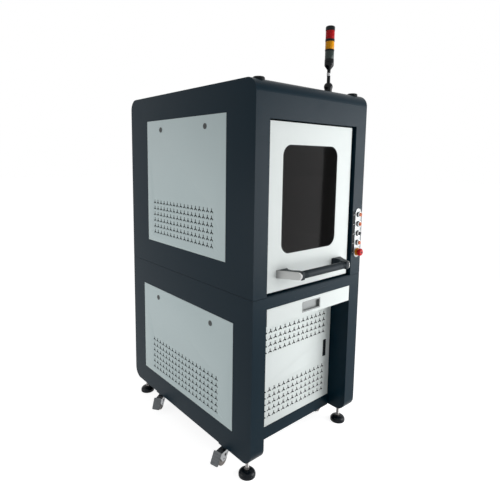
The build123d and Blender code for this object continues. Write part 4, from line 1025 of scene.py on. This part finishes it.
@dataclass
class CabinetShell:
    """Painted cabinet with its side and rear panels, locks, roof plugs and inlet.

    Attributes:
        upper_vents: vents of an upper side panel.
        lower_vents: vents of a lower side panel.
        mat: black mat behind the vents, as painted shade.
        panel_edge: rounding of a panel's edges.
        fold_edge: rounding of the cabinet's folds.
        screw_radius: radius of a rear screw's head.
        screw_inset: distance of the screws from the panels' edges.
        screw_rows: screws up each edge of a panel.
    """

    upper_vents: VentField = VentField(17, 6, (104.0, 55.0))
    lower_vents: VentField = VentField(19, 6, (122.0, 40.5))
    mat: VentShadeMat = VentShadeMat()
    panel_edge: float = 0.35
    fold_edge: float = 0.9
    screw_radius: float = 5.0
    screw_inset: float = 12.0
    screw_rows: int = 4

    def build(self) -> None:
        """Build and dress the shell."""
        dress("upper_cabinet", self.fold_edge)
        dress("lower_cabinet", self.fold_edge)
        for side in ("left", "right"):
            self.build_panel(f"{side}_upper_panel", self.upper_vents)
            self.build_panel(f"{side}_lower_panel", self.lower_vents)
        dress("rear_panels", self.panel_edge)
        dress("panel_locks", 0.3, LOCK_METAL)
        dress("roof_plugs", 0.3)
        dress("power_inlet", 0.4)
        self.build_rear_screws()

    def build_panel(self, node: str, vents: VentField) -> None:
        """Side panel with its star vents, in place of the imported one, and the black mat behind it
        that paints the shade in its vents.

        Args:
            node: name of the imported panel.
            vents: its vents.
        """
        box = extent(node)
        low, high = box.low, box.high
        corner = (low.y, low.z)
        outline = [corner, (high.y, low.z), (high.y, high.z), (low.y, high.z)]
        panel = Workpiece()
        panel.sheet(outline, vents.outlines(corner), box.size.x, self.panel_edge,
                    Wall.SIDE.plane(box.middle.x))
        panel.place(f"vented_{node}", PANEL_PAINT, body_of(node), (node,))
        inner, inward = (high.x, 1) if box.middle.x < 0 else (low.x, -1)
        # Black mat behind the vents: painted shade inside the cabinet.
        mat = Workpiece()
        self.mat.add(mat, vents, corner, Wall.SIDE, inner, inward)
        mat.place(f"dust_filter_{node}", VENT_SHADE_FOAM, body_of(node))

    def build_rear_screws(self) -> None:
        """Screws along the upright edges of the rear panels."""
        rear = extent("rear_panels")
        piece = Workpiece()
        for node in ("left_lower_panel", "left_upper_panel"):
            panel = extent(node)
            travel = panel.size.z - 2 * self.screw_inset
            for row in range(self.screw_rows):
                z = panel.low.z + self.screw_inset + row / (self.screw_rows - 1) * travel
                for x in (rear.low.x + self.screw_inset, rear.high.x - self.screw_inset):
                    self.add_screw(piece, Vector((x, rear.high.y, z)))
        piece.place("rear_panel_screws", BRIGHT_METAL, "cabinet")

    def add_screw(self, piece: Workpiece, place: Vector) -> None:
        """Domed screw head with a round socket, on a rear face.

        Args:
            piece: workpiece that it is added to.
            place: its middle on the face.
        """
        radius = self.screw_radius
        socket = radius * 0.45
        dome = [(radius, 0.0), (radius, -0.8), (radius * 0.85, -2.0), (radius * 0.6, -2.6),
                (socket, -2.7), (socket, -1.2), (0.0, -1.0)]
        piece.turned(dome, place, Way.FORWARD, steps=24)


@dataclass
class FrontDoor:
    """Lift-up door with its window and gas struts.

    Attributes:
        gasket: width of the rubber lip round the window.
        gasket_proud: how far the lip stands off the pane.
        gasket_edge: rounding of the lip.
        window_radius: corner radius of the window.
        window_width: width of the window.
        window_height: height of the window.
    """

    gasket: float = 3.0
    gasket_proud: float = 1.2
    gasket_edge: float = 0.4
    window_radius: float = 50.0
    window_width: float = 376.0
    window_height: float = 483.0

    def build(self) -> None:
        """Build and dress the door."""
        dress("front_door", 0.7)
        dress("door_window")
        self.build_gasket()
        for side in ("left", "right"):
            dress(f"strut_cylinder_{side}", 0.4)
            dress(f"strut_rod_{side}", 0.3)

    def build_gasket(self) -> None:
        """Rubber lip that lies on the pane, just inside the window's edge."""
        pane = extent("door_window")
        half_width, half_height = self.window_width / 2, self.window_height / 2
        outer, inner = (
            rounded_rectangle(
                (pane.middle.x - half_width + inset, pane.middle.x + half_width - inset),
                (pane.middle.z - half_height + inset, pane.middle.z + half_height - inset),
                self.window_radius - inset, 12)
            for inset in (0.0, self.gasket))
        plane = Wall.FRONT.plane(pane.low.y - self.gasket_proud / 2)
        lip = Workpiece().sheet(outer, [inner], self.gasket_proud, self.gasket_edge, plane)
        lip.place("window_gasket", BLACK_RUBBER, "door")


@dataclass
class DoorHandle:
    """Round grip on two raked arms with bright end covers.

    Attributes:
        root: outer side of a cover at the door, from the middle.
        tip: outer side of a cover at its tip.
        inner_root: inner side of an arm at the door.
        belly: hollow of the arm's inner face.
        belly_steps: chords of that hollow.
        nose: how far the arm's front corner lies inside the cover's tip.
        arm_edge: rounding of an arm's edges.
        cover: thickness of a cover.
        cover_edge: rounding of its edges.
        rim: width of the raised rim round a cover's tip.
        rim_proud: how far that rim stands up.
        rim_back: how far its end lies behind the cover's tip.
        rim_step: how much smaller its inner curve is.
        rim_edge: rounding of its edges.
        ring: pitch of the ribs at the grip's ends.
        rings: number of ribs at each end.
        ring_inset: distance of the ribs from the grip's end.
        groove: depth of the grooves between them.
    """

    root: float = 229.5
    tip: float = 168.5
    inner_root: float = 156.5
    belly: float = 171.0
    belly_steps: int = 8
    nose: float = 6.0
    arm_edge: float = 7.0
    cover: float = 3.0
    cover_edge: float = 0.7
    rim: float = 5.0
    rim_proud: float = 1.2
    rim_back: float = 0.6
    rim_step: float = 1.2
    rim_edge: float = 0.5
    ring: float = 5.0
    rings: int = 4
    ring_inset: float = 2.0
    groove: float = 1.0

    def build(self) -> None:
        """Build the grip, both arms and both covers."""
        self.build_grip()
        self.build_arms()
        self.build_covers()

    def build_grip(self) -> None:
        """Grip with ribbed ends."""
        box = extent("handle_grip")
        radius, length = box.size.z / 2, box.size.x
        zone = self.ring * self.rings
        deep = radius - self.groove
        profile: list[Point2] = [(0.0, 0.0), (radius - 1, 0.0)]
        for start in (self.ring_inset, length - zone - self.ring_inset):
            for number in range(self.rings):
                base = start + number * self.ring
                profile += [(deep, base), (radius - 0.2, base + 1.0), (radius, base + 2.0),
                            (radius, base + 3.0), (radius - 0.2, base + 4.0), (deep, base + 4.9)]
            if start < length / 2:
                profile += [(radius, start + zone + 1.0),
                            (radius, length - zone - self.ring_inset - 1.0)]
        profile += [(radius - 1, length), (0.0, length)]
        place = Vector((box.low.x, box.middle.y, box.middle.z))
        grip = Workpiece().turned(profile, place, Way.RIGHT, steps=64)
        grip.place("ribbed_grip", HANDLE_PLASTIC, "door", ("handle_grip",))

    def arm_outline(self, side: int) -> list[Point2]:
        """Outline of one arm seen from above: raked outside, hollow inside.

        Args:
            side: -1 for the left arm, 1 for the right one.

        Returns:
            The outline.
        """
        covers, grip = extent("handle_covers"), extent("handle_grip")
        face, reach = covers.high.y, covers.low.y
        rake = Vector((side * (self.tip - self.root), reach - face)).normalized()
        inward = Vector((-side * abs(rake.y), abs(rake.x)))
        root = (side * self.root + self.cover / inward.x, face)
        tip = Vector((side * self.tip, reach)) + inward * self.cover
        rear_end = Vector((grip.high.x * side, grip.high.y))
        inner_root = Vector((side * self.inner_root, face))
        belly = Vector((side * self.belly, (face + grip.high.y) / 2))
        hollow = belly - rear_end.lerp(inner_root, 0.5)
        outline = [root, tuple(tip), (side * (self.tip - self.nose), grip.low.y),
                   (rear_end.x, grip.low.y)]
        for step in range(self.belly_steps + 1):
            share = step / self.belly_steps
            bow = 4 * share * (1 - share)
            outline.append(tuple(rear_end.lerp(inner_root, share) + hollow * bow))
        return outline

    def build_arms(self) -> None:
        """Both arms with well rounded edges."""
        box = extent("handle_brackets")
        arms = Workpiece()
        for side in (-1, 1):
            arms.prism(self.arm_outline(side), (box.low.z, box.high.z))
        arms.place("handle_arms", HANDLE_PLASTIC, "door", ("handle_brackets",), self.arm_edge, 4)

    def build_covers(self) -> None:
        """Satin covers on the raked faces and the bright rims round their tips."""
        box = extent("handle_covers")
        radius = box.size.z / 2
        up = Vector((0, 0, 1))
        covers, rims = Workpiece(), Workpiece()
        for side in (-1, 1):
            root = Vector((side * self.root, box.high.y, 0))
            rake = Vector((side * self.tip, box.low.y, 0)) - root
            along = rake.normalized()
            outward = Vector((side * abs(along.y), -abs(along.x), 0))
            axes = Matrix((along, up, along.cross(up))).transposed().to_4x4()
            centre = root - outward * (self.cover / 2) + up * box.middle.z
            end = rake.length - radius
            outline = [(0.0, -radius), *arc((end, 0), radius, -90, 90, 16), (0.0, radius)]
            covers.sheet(outline, [], self.cover, self.cover_edge,
                         Matrix.Translation(centre) @ axes)
            tip = end - self.rim_back
            crescent = arc((tip, 0), radius, -90, 90, 16)
            crescent += arc((tip - self.rim, 0), radius - self.rim_step, 90, -90, 16)
            lifted = centre + outward * (self.rim_proud / 2)
            rims.sheet(crescent, [], self.cover + self.rim_proud, self.rim_edge,
                       Matrix.Translation(lifted) @ axes)
        covers.place("handle_end_covers", HANDLE_METAL, "door", ("handle_covers",))
        rims.place("handle_cover_rims", BRIGHT_METAL, "door")


@dataclass
class LowerDoor:
    """Vented door of the leg recess with its hinge pins, black mats that paint the shade behind its
    vents, latch pocket and lever.

    Attributes:
        low_vents: lower vent field.
        high_vents: upper vent field.
        mat: black mat behind the vents, as painted shade.
        sheet: thickness of the sheet.
        sheet_edge: rounding of its edges.
        pin_height: height of a hinge pin, by which the sheet is shorter at each end.
        pin_radius: radius of a hinge pin.
        pin_inset: distance of a pin's middle from the door's edge and from its face.
        pocket_slack: gap between the lever and its pocket.
        pocket_corner: radius of the pocket's corners.
        pocket_start: how far behind the face its walls start.
        pocket_depth: how far behind the face it ends.
        pocket_wall: thickness of its walls.
    """

    low_vents: VentField = VentField(15, 5, (68.0, 50.0))
    high_vents: VentField = VentField(15, 4, (68.0, 380.0))
    mat: VentShadeMat = VentShadeMat()
    sheet: float = 2.0
    sheet_edge: float = 0.35
    pin_height: float = 6.0
    pin_radius: float = 4.0
    pin_inset: float = 6.5
    pocket_slack: float = 1.0
    pocket_corner: float = 2.0
    pocket_start: float = 0.3
    pocket_depth: float = 13.0
    pocket_wall: float = 1.5

    def build(self) -> None:
        """Build the door and dress its lever."""
        low, high = extent("lower_door").low, extent("lower_door").high
        lever = extent("lower_latch")
        bottom, top, face = low.z + self.pin_height, high.z - self.pin_height, low.y
        pocket_x = (lever.low.x - self.pocket_slack, lever.high.x + self.pocket_slack)
        pocket_z = (lever.low.z - self.pocket_slack, lever.high.z + self.pocket_slack)
        corner = (low.x, bottom)
        outline = [corner, (high.x, bottom), (high.x, top), (low.x, top)]
        holes = self.low_vents.outlines(corner) + self.high_vents.outlines(corner)
        holes.append(rounded_rectangle(pocket_x, pocket_z, self.pocket_corner, 3))
        door = Workpiece()
        door.sheet(outline, holes, self.sheet, self.sheet_edge,
                   Wall.FRONT.plane(face + self.sheet / 2))
        depth = (face + self.sheet, high.y)
        for x in ((low.x, low.x + self.sheet), (high.x - self.sheet, high.x)):
            door.box(x, depth, (bottom, top))
        for z in ((bottom, bottom + self.sheet), (top - self.sheet, top)):
            door.box((low.x + self.sheet, high.x - self.sheet), depth, z)
        pin = [(0.0, 0.0), (self.pin_radius, 0.0), (self.pin_radius, self.pin_height),
               (0.0, self.pin_height)]
        for z in (low.z, top):
            door.turned(pin, Vector((low.x + self.pin_inset, face + self.pin_inset, z)), steps=24)
        door.place("vented_lower_door", DOOR_PAINT, "cupboard_door", ("lower_door",))
        # Black mats behind the vents: painted shade in the leg recess.
        mats = Workpiece()
        for vents in (self.low_vents, self.high_vents):
            self.mat.add(mats, vents, corner, Wall.FRONT, face + self.sheet, 1)
        mats.place("door_vent_shade_mats", VENT_SHADE_FOAM, "cupboard_door")
        self.build_pocket(pocket_x, pocket_z, face)
        dress("lower_latch", 0.5)

    def build_pocket(self, x: Limits, z: Limits, face: float) -> None:
        """Open box behind the lever.

        Args:
            x: its inner limits across.
            z: its inner limits upwards.
            face: place of the door's face.
        """
        wall = self.pocket_wall
        depth = (face + self.pocket_start, face + self.pocket_depth)
        tall = (z[0] - wall, z[1] + wall)
        pocket = Workpiece()
        pocket.box((x[0] - wall, x[0]), depth, tall).box((x[1], x[1] + wall), depth, tall)
        pocket.box(x, depth, (z[0] - wall, z[0])).box(x, depth, (z[1], z[1] + wall))
        pocket.box(x, (depth[1] - wall, depth[1]), z)
        pocket.place("latch_pocket", BLACK_PLASTIC, "cupboard_door", bevel=0.2)


@dataclass
class KeyboardDrawer:
    """Keyboard drawer with its pull and slides.

    Attributes:
        fold_edge: rounding of the tray's folds.
        pull_edge: rounding of the pull.
        slide_edge: rounding of the rails and slides.
    """

    fold_edge: float = 0.7
    pull_edge: float = 0.6
    slide_edge: float = 0.2

    def build(self) -> None:
        """Dress the drawer."""
        dress("drawer_tray", self.fold_edge)
        dress("drawer_pull", self.pull_edge, PULL_METAL)
        dress("drawer_rails", self.slide_edge)
        dress("drawer_slides", self.slide_edge)


@dataclass
class ControlPlate:
    """Plate on the right front post with four push buttons, the stop button and the black strip
    with bright ticks beside it.

    Attributes:
        edge: rounding of the plate.
        buttons: numbers of the push buttons.
        black_button: number of the button with the black cap.
        base_depth: depth of the black ring under a bezel.
        base_radius: its radius.
        bezel_radius: radius of the bright bezel.
        bezel_depth: depth of bezel and black ring together.
        bore: inner radius of the bezel.
        stem: radius of a button's stem.
        cap_foot: where a cap starts, in front of the plate.
        collar_bore: inner radius of the stop button's collar.
        stop_depth: depth of the stop button's head.
        stop_lobes: lobes round that head.
        lobe_depth: depth of the hollows between them.
        strip: width of the black strip.
        strip_gap: distance of the strip from the plate.
        strip_ends: how far it stays below and above the plate's ends.
        strip_thickness: its thickness.
        tick: length of a tick beside a button.
        short_tick: share of that length that the second tick has.
        tick_height: height of a tick.
        tick_pitch: distance of the second tick from the first.
        tick_thickness: thickness of a tick.
    """

    edge: float = 1.0
    buttons: tuple[int, ...] = (1, 2, 3, 4)
    black_button: int = 3
    base_depth: float = 5.0
    base_radius: float = 14.5
    bezel_radius: float = 14.0
    bezel_depth: float = 12.0
    bore: float = 10.8
    stem: float = 8.0
    cap_foot: float = 6.0
    collar_bore: float = 8.6
    stop_depth: float = 16.0
    stop_lobes: int = 6
    lobe_depth: float = 1.1
    strip: float = 16.0
    strip_gap: float = 1.5
    strip_ends: Limits = (24.0, 14.0)
    strip_thickness: float = 0.8
    tick: float = 9.0
    short_tick: float = 0.55
    tick_height: float = 1.4
    tick_pitch: float = 3.0
    tick_thickness: float = 0.4

    def build(self) -> None:
        """Build plate, bezels, caps, stop button and strip."""
        box = extent("button_plate")
        radius = box.radius
        outline = arc((box.middle.x, box.high.z - radius), radius, 0, 180, 24)
        outline += arc((box.middle.x, box.low.z + radius), radius, 180, 360, 24)
        plane = Wall.FRONT.plane(box.middle.y)
        plate = Workpiece().sheet(outline, [], box.size.y, self.edge, plane)
        plate.place("control_plate", PLATE_METAL, "cabinet", ("button_plate",))
        self.build_bezels()
        for number in self.buttons:
            self.build_cap(number)
        self.build_stop()
        self.build_strip()

    def at(self, node: str) -> Vector:
        """Point on the plate's face in line with a node's middle."""
        plate = extent("button_plate")
        return Vector((plate.middle.x, plate.low.y, extent(node).middle.z))

    def depths(self, node: str) -> tuple[float, float]:
        """Rear and front end of a node, measured forward from the plate's face."""
        face, box = extent("button_plate").low.y, extent(node)
        return face - box.high.y, face - box.low.y

    def build_bezels(self) -> None:
        """Black rings and bright bezels of the push buttons."""
        rings, bezels = Workpiece(), Workpiece()
        bore, base, depth = self.bore, self.base_depth, self.bezel_depth
        under, outer = self.base_radius, self.bezel_radius
        ring = [(bore, 0.0), (under, 0.0), (under, base - 0.6), (under - 0.6, base), (bore, base)]
        bezel = [(bore, base), (outer - 0.8, base), (outer, base + 0.8), (outer, depth - 2.4),
                 (outer - 0.7, depth - 0.9), (outer - 1.8, depth), (bore + 0.5, depth),
                 (bore, depth - 0.5)]
        for number in self.buttons:
            place = self.at(f"button_{number}")
            rings.turned(ring, place, Way.FORWARD, closed=True)
            bezels.turned(bezel, place, Way.FORWARD, closed=True)
        bezels.place("button_bright_bezels", BEZEL_METAL, "cabinet", ("button_bezels",))
        rings.place("button_base_rings", BLACK_GLOSS, "cabinet")

    def build_cap(self, number: int) -> None:
        """Slightly domed cap of one push button.

        Args:
            number: number of the button.
        """
        node = f"button_{number}"
        radius = extent(node).radius
        start, reach = self.depths(node)
        profile = [(0.0, start), (self.stem, start), (self.stem, self.cap_foot),
                   (radius, self.cap_foot), (radius, reach - 1.8), (radius - 0.3, reach - 1.2),
                   (radius - 1.0, reach - 0.5), (radius * 0.7, reach - 0.15),
                   (radius * 0.35, reach), (0.0, reach)]
        finish = BLACK_CAP if number == self.black_button else ORANGE_CAP
        cap = Workpiece().turned(profile, self.at(node), Way.FORWARD, steps=56)
        cap.place(f"domed_button_{number}", finish, f"push_button_{number}", (node,))

    def build_stop(self) -> None:
        """Stop button: yellow collar, lobed red head and black centre."""
        place = self.at("estop_collar")
        box = extent("estop_collar")
        radius, depth, bore = box.radius, box.size.y, self.collar_bore
        collar = [(bore, 0.0), (radius, 0.0), (radius, depth - 1.6), (radius - 1.4, depth),
                  (12.0, depth), (bore, depth - 1.5)]
        Workpiece().turned(collar, place, Way.FORWARD, closed=True).place(
            "stop_yellow_collar", STOP_YELLOW, "cabinet", ("estop_collar",))
        radius = extent("estop_head").radius
        start, reach = self.depths("estop_head")
        under = reach - self.stop_depth
        head = [(0.0, start), (self.stem, start), (self.stem, under), (radius - 5.0, under),
                (radius - 0.8, under + 1.4), (radius, under + 4.0), (radius - 0.4, under + 8.0),
                (radius - 2.4, under + 11.6), (radius - 5.6, under + 14.2),
                (radius - 9.5, under + 15.4), (6.0, reach - 0.6), (5.2, reach - 1.4),
                (0.0, reach - 1.4)]
        Workpiece().turned(head, place, Way.FORWARD, 72, self.stop_lobes, self.lobe_depth).place(
            "stop_mushroom_head", STOP_RED, "stop_button", ("estop_head",))
        centre = [(0.0, reach - 3.0), (4.6, reach - 3.0), (4.6, reach - 0.8), (3.6, reach),
                  (0.0, reach)]
        Workpiece().turned(centre, place, Way.FORWARD, steps=32).place(
            "stop_head_centre", BLACK_CAP, "stop_button")

    def build_strip(self) -> None:
        """Black strip beside the plate, with two bright ticks level with each button."""
        plate = extent("button_plate")
        right = plate.low.x - self.strip_gap
        z = (plate.low.z + self.strip_ends[0], plate.high.z - self.strip_ends[1])
        back, front = plate.high.y, plate.high.y - self.strip_thickness
        strip = Workpiece().sheet(rounded_rectangle((right - self.strip, right), z, 1.5, 3), [],
                                  self.strip_thickness, 0.2, Wall.FRONT.plane((back + front) / 2))
        strip.place("black_strip_by_plate", BLACK_PLASTIC, "cabinet")
        ticks = Workpiece()
        end = right - 2
        for node in (*(f"button_{number}" for number in self.buttons), "estop_head"):
            height = extent(node).middle.z
            rows = ((height - self.tick_pitch, self.tick), (height, self.tick * self.short_tick))
            for base, length in rows:
                up = (base, base + self.tick_height)
                outline = rounded_rectangle((end - length, end), up, 0.4, 2)
                ticks.sheet(outline, [], self.tick_thickness, 0.1, Wall.FRONT.plane(front - 0.1))
        ticks.place("bright_ticks_by_buttons", HANDLE_METAL, "cabinet")


@dataclass
class SignalTower:
    """Signal tower: ball foot, pole, white collar, housing and three ribbed lenses.

    Attributes:
        flange: radius of the foot's flange.
        neck: radius of the foot under its ball.
        socket: depth of the hollow that the pole stands in.
        collar: heights of the white collar above the roof.
        collar_radius: its radius.
        core: radius of the housing inside the lenses.
        seam: depth of the grooves between its rings.
        ribs: ribs round a lens.
        rib_depth: their depth.
    """

    flange: float = 21.2
    neck: float = 18.5
    socket: float = 4.0
    collar: Limits = (80.0, 94.0)
    collar_radius: float = 9.6
    core: float = 8.3
    seam: float = 0.6
    ribs: int = 36
    rib_depth: float = 0.5

    @property
    def place(self) -> Vector:
        """Middle of the foot, on the roof."""
        foot = extent("tower_base")
        return Vector((foot.middle.x, foot.middle.y, foot.low.z))

    def build(self) -> None:
        """Build the tower on the roof."""
        self.build_base()
        dress("tower_pole", 0.4)
        self.build_collar()
        self.build_housing()
        for colour, finish in (("red", LENS_RED), ("amber", LENS_AMBER), ("green", LENS_GREEN)):
            self.build_lens(f"tower_lens_{colour}", f"ribbed_lens_{colour}", finish)

    def build_base(self) -> None:
        """Ball foot with a thin flange at the roof."""
        box = extent("tower_base")
        radius, flange = box.radius, self.flange
        bore = extent("tower_pole").radius + 0.3
        end = math.degrees(math.acos(bore / radius))
        ball = arc((0, box.size.z - radius), radius, -20, end, 14)
        inside = ball[-1][1] - self.socket
        profile = [(0.0, 0.0), (flange - 1.2, 0.0), (flange, 1.0), (flange, 3.0), (self.neck, 4.5),
                   (self.neck - 0.5, 14.0), *ball, (bore, inside), (0.0, inside)]
        Workpiece().turned(profile, self.place, steps=56).place(
            "tower_ball_foot", BLACK_GLOSS, "cabinet", ("tower_base",))

    def build_collar(self) -> None:
        """White collar round the pole."""
        bore, radius = extent("tower_pole").radius + 0.05, self.collar_radius
        bottom, top = self.collar
        profile = [(bore, bottom), (radius - 0.6, bottom), (radius, bottom + 0.6),
                   (radius, top - 0.6), (radius - 0.6, top), (bore, top)]
        Workpiece().turned(profile, self.place, steps=40, closed=True).place(
            "tower_white_collar", WHITE_PLASTIC, "cabinet")

    def heights(self, node: str) -> Limits:
        """Lower and upper end of a node above the roof."""
        box, roof = extent(node), self.place.z
        return box.low.z - roof, box.high.z - roof

    def build_housing(self) -> None:
        """Black housing: tapered neck, rings between the lenses and a rounded cap."""
        radius, core = extent("tower_housing").radius, self.core
        shy = radius - self.seam
        foot, top = self.heights("tower_housing")
        profile: list[Point2] = [(0.0, foot), (core + 1.7, foot), (core + 3.4, foot + 3.0),
                                 (radius - 2.0, foot + 15.0), (radius, foot + 19.0)]
        for colour in ("green", "amber", "red"):
            start, end = self.heights(f"tower_lens_{colour}")
            seam = (profile[-1][1] + start) / 2
            profile += [(radius, seam - 0.7), (shy, seam), (radius, seam + 0.7),
                        (radius, start - 0.6), (shy, start), (core, start), (core, end),
                        (shy, end), (radius, end + 0.6)]
        profile += [(radius, top - 7.0), (radius - 0.5, top - 5.0), (radius - 2.4, top - 2.0),
                    (radius - 6.0, top - 0.4), (radius - 12.0, top), (0.0, top)]
        Workpiece().turned(profile, self.place, steps=56).place(
            "tower_black_housing", BLACK_GLOSS, "cabinet", ("tower_housing",))

    def build_lens(self, node: str, name: str, finish: Finish) -> None:
        """Lens with fine upright ribs.

        Args:
            node: packed lens.
            name: name of the new piece.
            finish: its finish.
        """
        radius, core = extent(node).radius, self.core + 0.1
        start, end = self.heights(node)
        profile = [(core, start), (radius - 0.5, start), (radius, start + 1.0), (radius, end - 1.0),
                   (radius - 0.5, end), (core, end)]
        lens = Workpiece()
        lens.turned(profile, self.place, steps=self.ribs * 4, flutes=self.ribs,
                    flute_depth=self.rib_depth, closed=True)
        lens.place(name, finish, "cabinet", (node,))


@dataclass
class LevellingFeet:
    """Four rubber feet on threaded stems with two nuts each.

    Attributes:
        pad_radius: radius of the rubber foot.
        pad_edge: height of its upright edge.
        pad_height: height of its dome.
        pad_socket: depth of the hollow that the stem stands in.
        stem_radius: outer radius of the thread.
        thread_pitch: pitch of the thread.
        thread_depth: depth of the thread.
        nut_radius: radius of a nut across its corners.
        nut_height: height of a nut.
        nut_corner: width of its turned-down corners.
    """

    pad_radius: float = 40.0
    pad_edge: float = 9.0
    pad_height: float = 30.0
    pad_socket: float = 4.0
    stem_radius: float = 8.0
    thread_pitch: float = 2.5
    thread_depth: float = 0.8
    nut_radius: float = 13.0
    nut_height: float = 10.0
    nut_corner: float = 1.4

    def build(self) -> None:
        """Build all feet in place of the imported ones."""
        box, reach = extent("foot_pads"), self.pad_radius
        top = extent("foot_stems").high.z
        pads, stems = Workpiece(), Workpiece()
        for x in (box.low.x + reach, box.high.x - reach):
            for y in (box.low.y + reach, box.high.y - reach):
                self.add_pad(pads, Vector((x, y, 0)))
                self.add_stem(stems, Vector((x, y, 0)), top)
        pads.place("domed_foot_pads", BLACK_RUBBER, "cabinet", ("foot_pads",))
        stems.place("threaded_foot_stems", STEM_METAL, "cabinet", ("foot_stems",))

    def add_pad(self, piece: Workpiece, place: Vector) -> None:
        """Dome of one foot, open for its stem.

        Args:
            piece: workpiece that it is added to.
            place: its middle on the floor.
        """
        radius, edge, height = self.pad_radius, self.pad_edge, self.pad_height
        stem, inside = self.stem_radius, height - self.pad_socket
        neck = stem + 4.0
        dome = [(neck + (radius - neck) * u, edge + (height - edge) * v)
                for u, v in arc((0, 0), 1, 0, 90, 10)]
        profile = [(0.0, 0.0), (radius - 1.5, 0.0), (radius - 0.2, 1.2), (radius - 0.2, edge - 2.0),
                   (radius, edge - 1.0), *dome, (stem + 1.0, height - 1.5), (stem + 0.2, inside),
                   (0.0, inside)]
        piece.turned(profile, place, steps=56)

    def add_stem(self, piece: Workpiece, place: Vector, top: float) -> None:
        """Threaded stem of one foot with a nut on the pad and one under the cabinet.

        Args:
            piece: workpiece that it is added to.
            place: middle of the foot on the floor.
            top: upper end of the stem.
        """
        outer, inner = self.stem_radius, self.stem_radius - self.thread_depth
        start = self.pad_height / 2
        turns = int((top - start) / self.thread_pitch)
        pitch = (top - start) / turns
        profile: list[Point2] = [(0.0, start), (inner, start)]
        for turn in range(turns):
            profile += [(outer, start + pitch * (turn + 0.5)), (inner, start + pitch * (turn + 1))]
        profile.append((0.0, top))
        piece.turned(profile, place, steps=32)
        for base in (self.pad_height, top - self.nut_height):
            self.add_nut(piece, place + Vector((0, 0, base)))

    def add_nut(self, piece: Workpiece, place: Vector) -> None:
        """Hexagon nut with turned-down corners.

        Args:
            piece: workpiece that it is added to.
            place: middle of its lower face.
        """
        radius, height, corner = self.nut_radius, self.nut_height, self.nut_corner
        bore = self.stem_radius - self.thread_depth
        profile = [(bore, 0.0), (radius - corner, 0.0), (radius, corner * 0.7),
                   (radius, height - corner * 0.7), (radius - corner, height), (bore, height)]
        piece.turned(profile, place, steps=6, closed=True)


@dataclass
class Casters:
    """Four swivel casters: wheels with a hub and a moulded tread, forks, plates and pedals.

    Attributes:
        names: the casters' names, front or rear and left or right.
        tread_edge: rounding of a wheel's edge.
        tread: height of the tread.
        hub_radius: radius of the hub.
        hub_depth: how deep the wheel's side is hollowed.
        bore: radius of the hole for the axle.
    """

    names: tuple[str, ...] = ("fl", "fr", "rl", "rr")
    tread_edge: float = 5.0
    tread: float = 7.0
    hub_radius: float = 11.0
    hub_depth: float = 2.5
    bore: float = 5.05

    def build(self) -> None:
        """Build the wheels and dress what they hang on."""
        for name in self.names:
            self.build_wheel(name)
            dress(f"caster_fork_{name}", 0.7, FORK_METAL)
            dress(f"caster_pedal_{name}", 1.0)
        dress("caster_plates", 0.5)

    def build_wheel(self, name: str) -> None:
        """Wheel with a crowned tread, hollowed sides and a hub.

        Args:
            name: name of the caster.
        """
        node = f"caster_wheel_{name}"
        box, axis = extent(node), joint_axis(f"roll_{name}")
        radius = box.size.z / 2
        half = (box.size.y - 2 * radius * abs(axis.x)) / (2 * abs(axis.y))
        edge, hub = self.tread_edge, self.hub_radius
        inner, hollow = radius - self.tread, half - self.hub_depth
        side = [(self.bore, half), (hub - 1.0, half), (hub, half - 0.8), (hub + 1.0, hollow),
                (inner - 2.0, hollow), (inner - 1.0, half - 0.6), (inner, half),
                *arc((radius - edge, half - edge), edge, 90, 0, 6)]
        profile = side + [(r, -h) for r, h in reversed(side)]
        wheel = Workpiece().turned(profile, box.middle, axis, steps=64, closed=True)
        wheel.place(f"treaded_wheel_{name}", WHEEL_PLASTIC, body_of(node), (node,))


@dataclass
class WorkChamber:
    """What stands in the upper and the lower compartment.

    Attributes:
        nodes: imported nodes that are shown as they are.
        edge: rounding of their edges.
        lens: profile of the scan head's front lens.
        lens_inset: distance of the lens from the head's lower face.
    """

    nodes: tuple[str, ...] = ("work_table", "z_axis_column", "z_carriage", "scan_head",
                              "laser_source", "control_computer")
    edge: float = 0.6
    lens: tuple[Point2, ...] = ((0.0, -1.5), (20.0, 0.0), (30.0, 3.0), (31.5, 4.5), (0.0, 4.6))
    lens_inset: float = 2.0

    def build(self) -> None:
        """Dress the inner parts and add the coated front lens."""
        for node in self.nodes:
            dress(node, self.edge)
        head = extent("scan_head")
        place = Vector((head.middle.x, head.middle.y, head.low.z + self.lens_inset))
        Workpiece().turned(self.lens, place).place("coated_scan_lens", LENS_GREEN, "focus_head")


def main() -> None:
    """Build the studio and every sub-assembly."""
    logging.basicConfig(level=logging.INFO, format="%(name)s: %(message)s")
    Studio().build()
    for assembly in (CabinetShell(), FrontDoor(), DoorHandle(), KeyboardDrawer(), LowerDoor(),
                     ControlPlate(), SignalTower(), LevellingFeet(), Casters(), WorkChamber()):
        LOG.info("building %s", type(assembly).__name__)
        assembly.build()


if __name__ == "__main__":
    main()
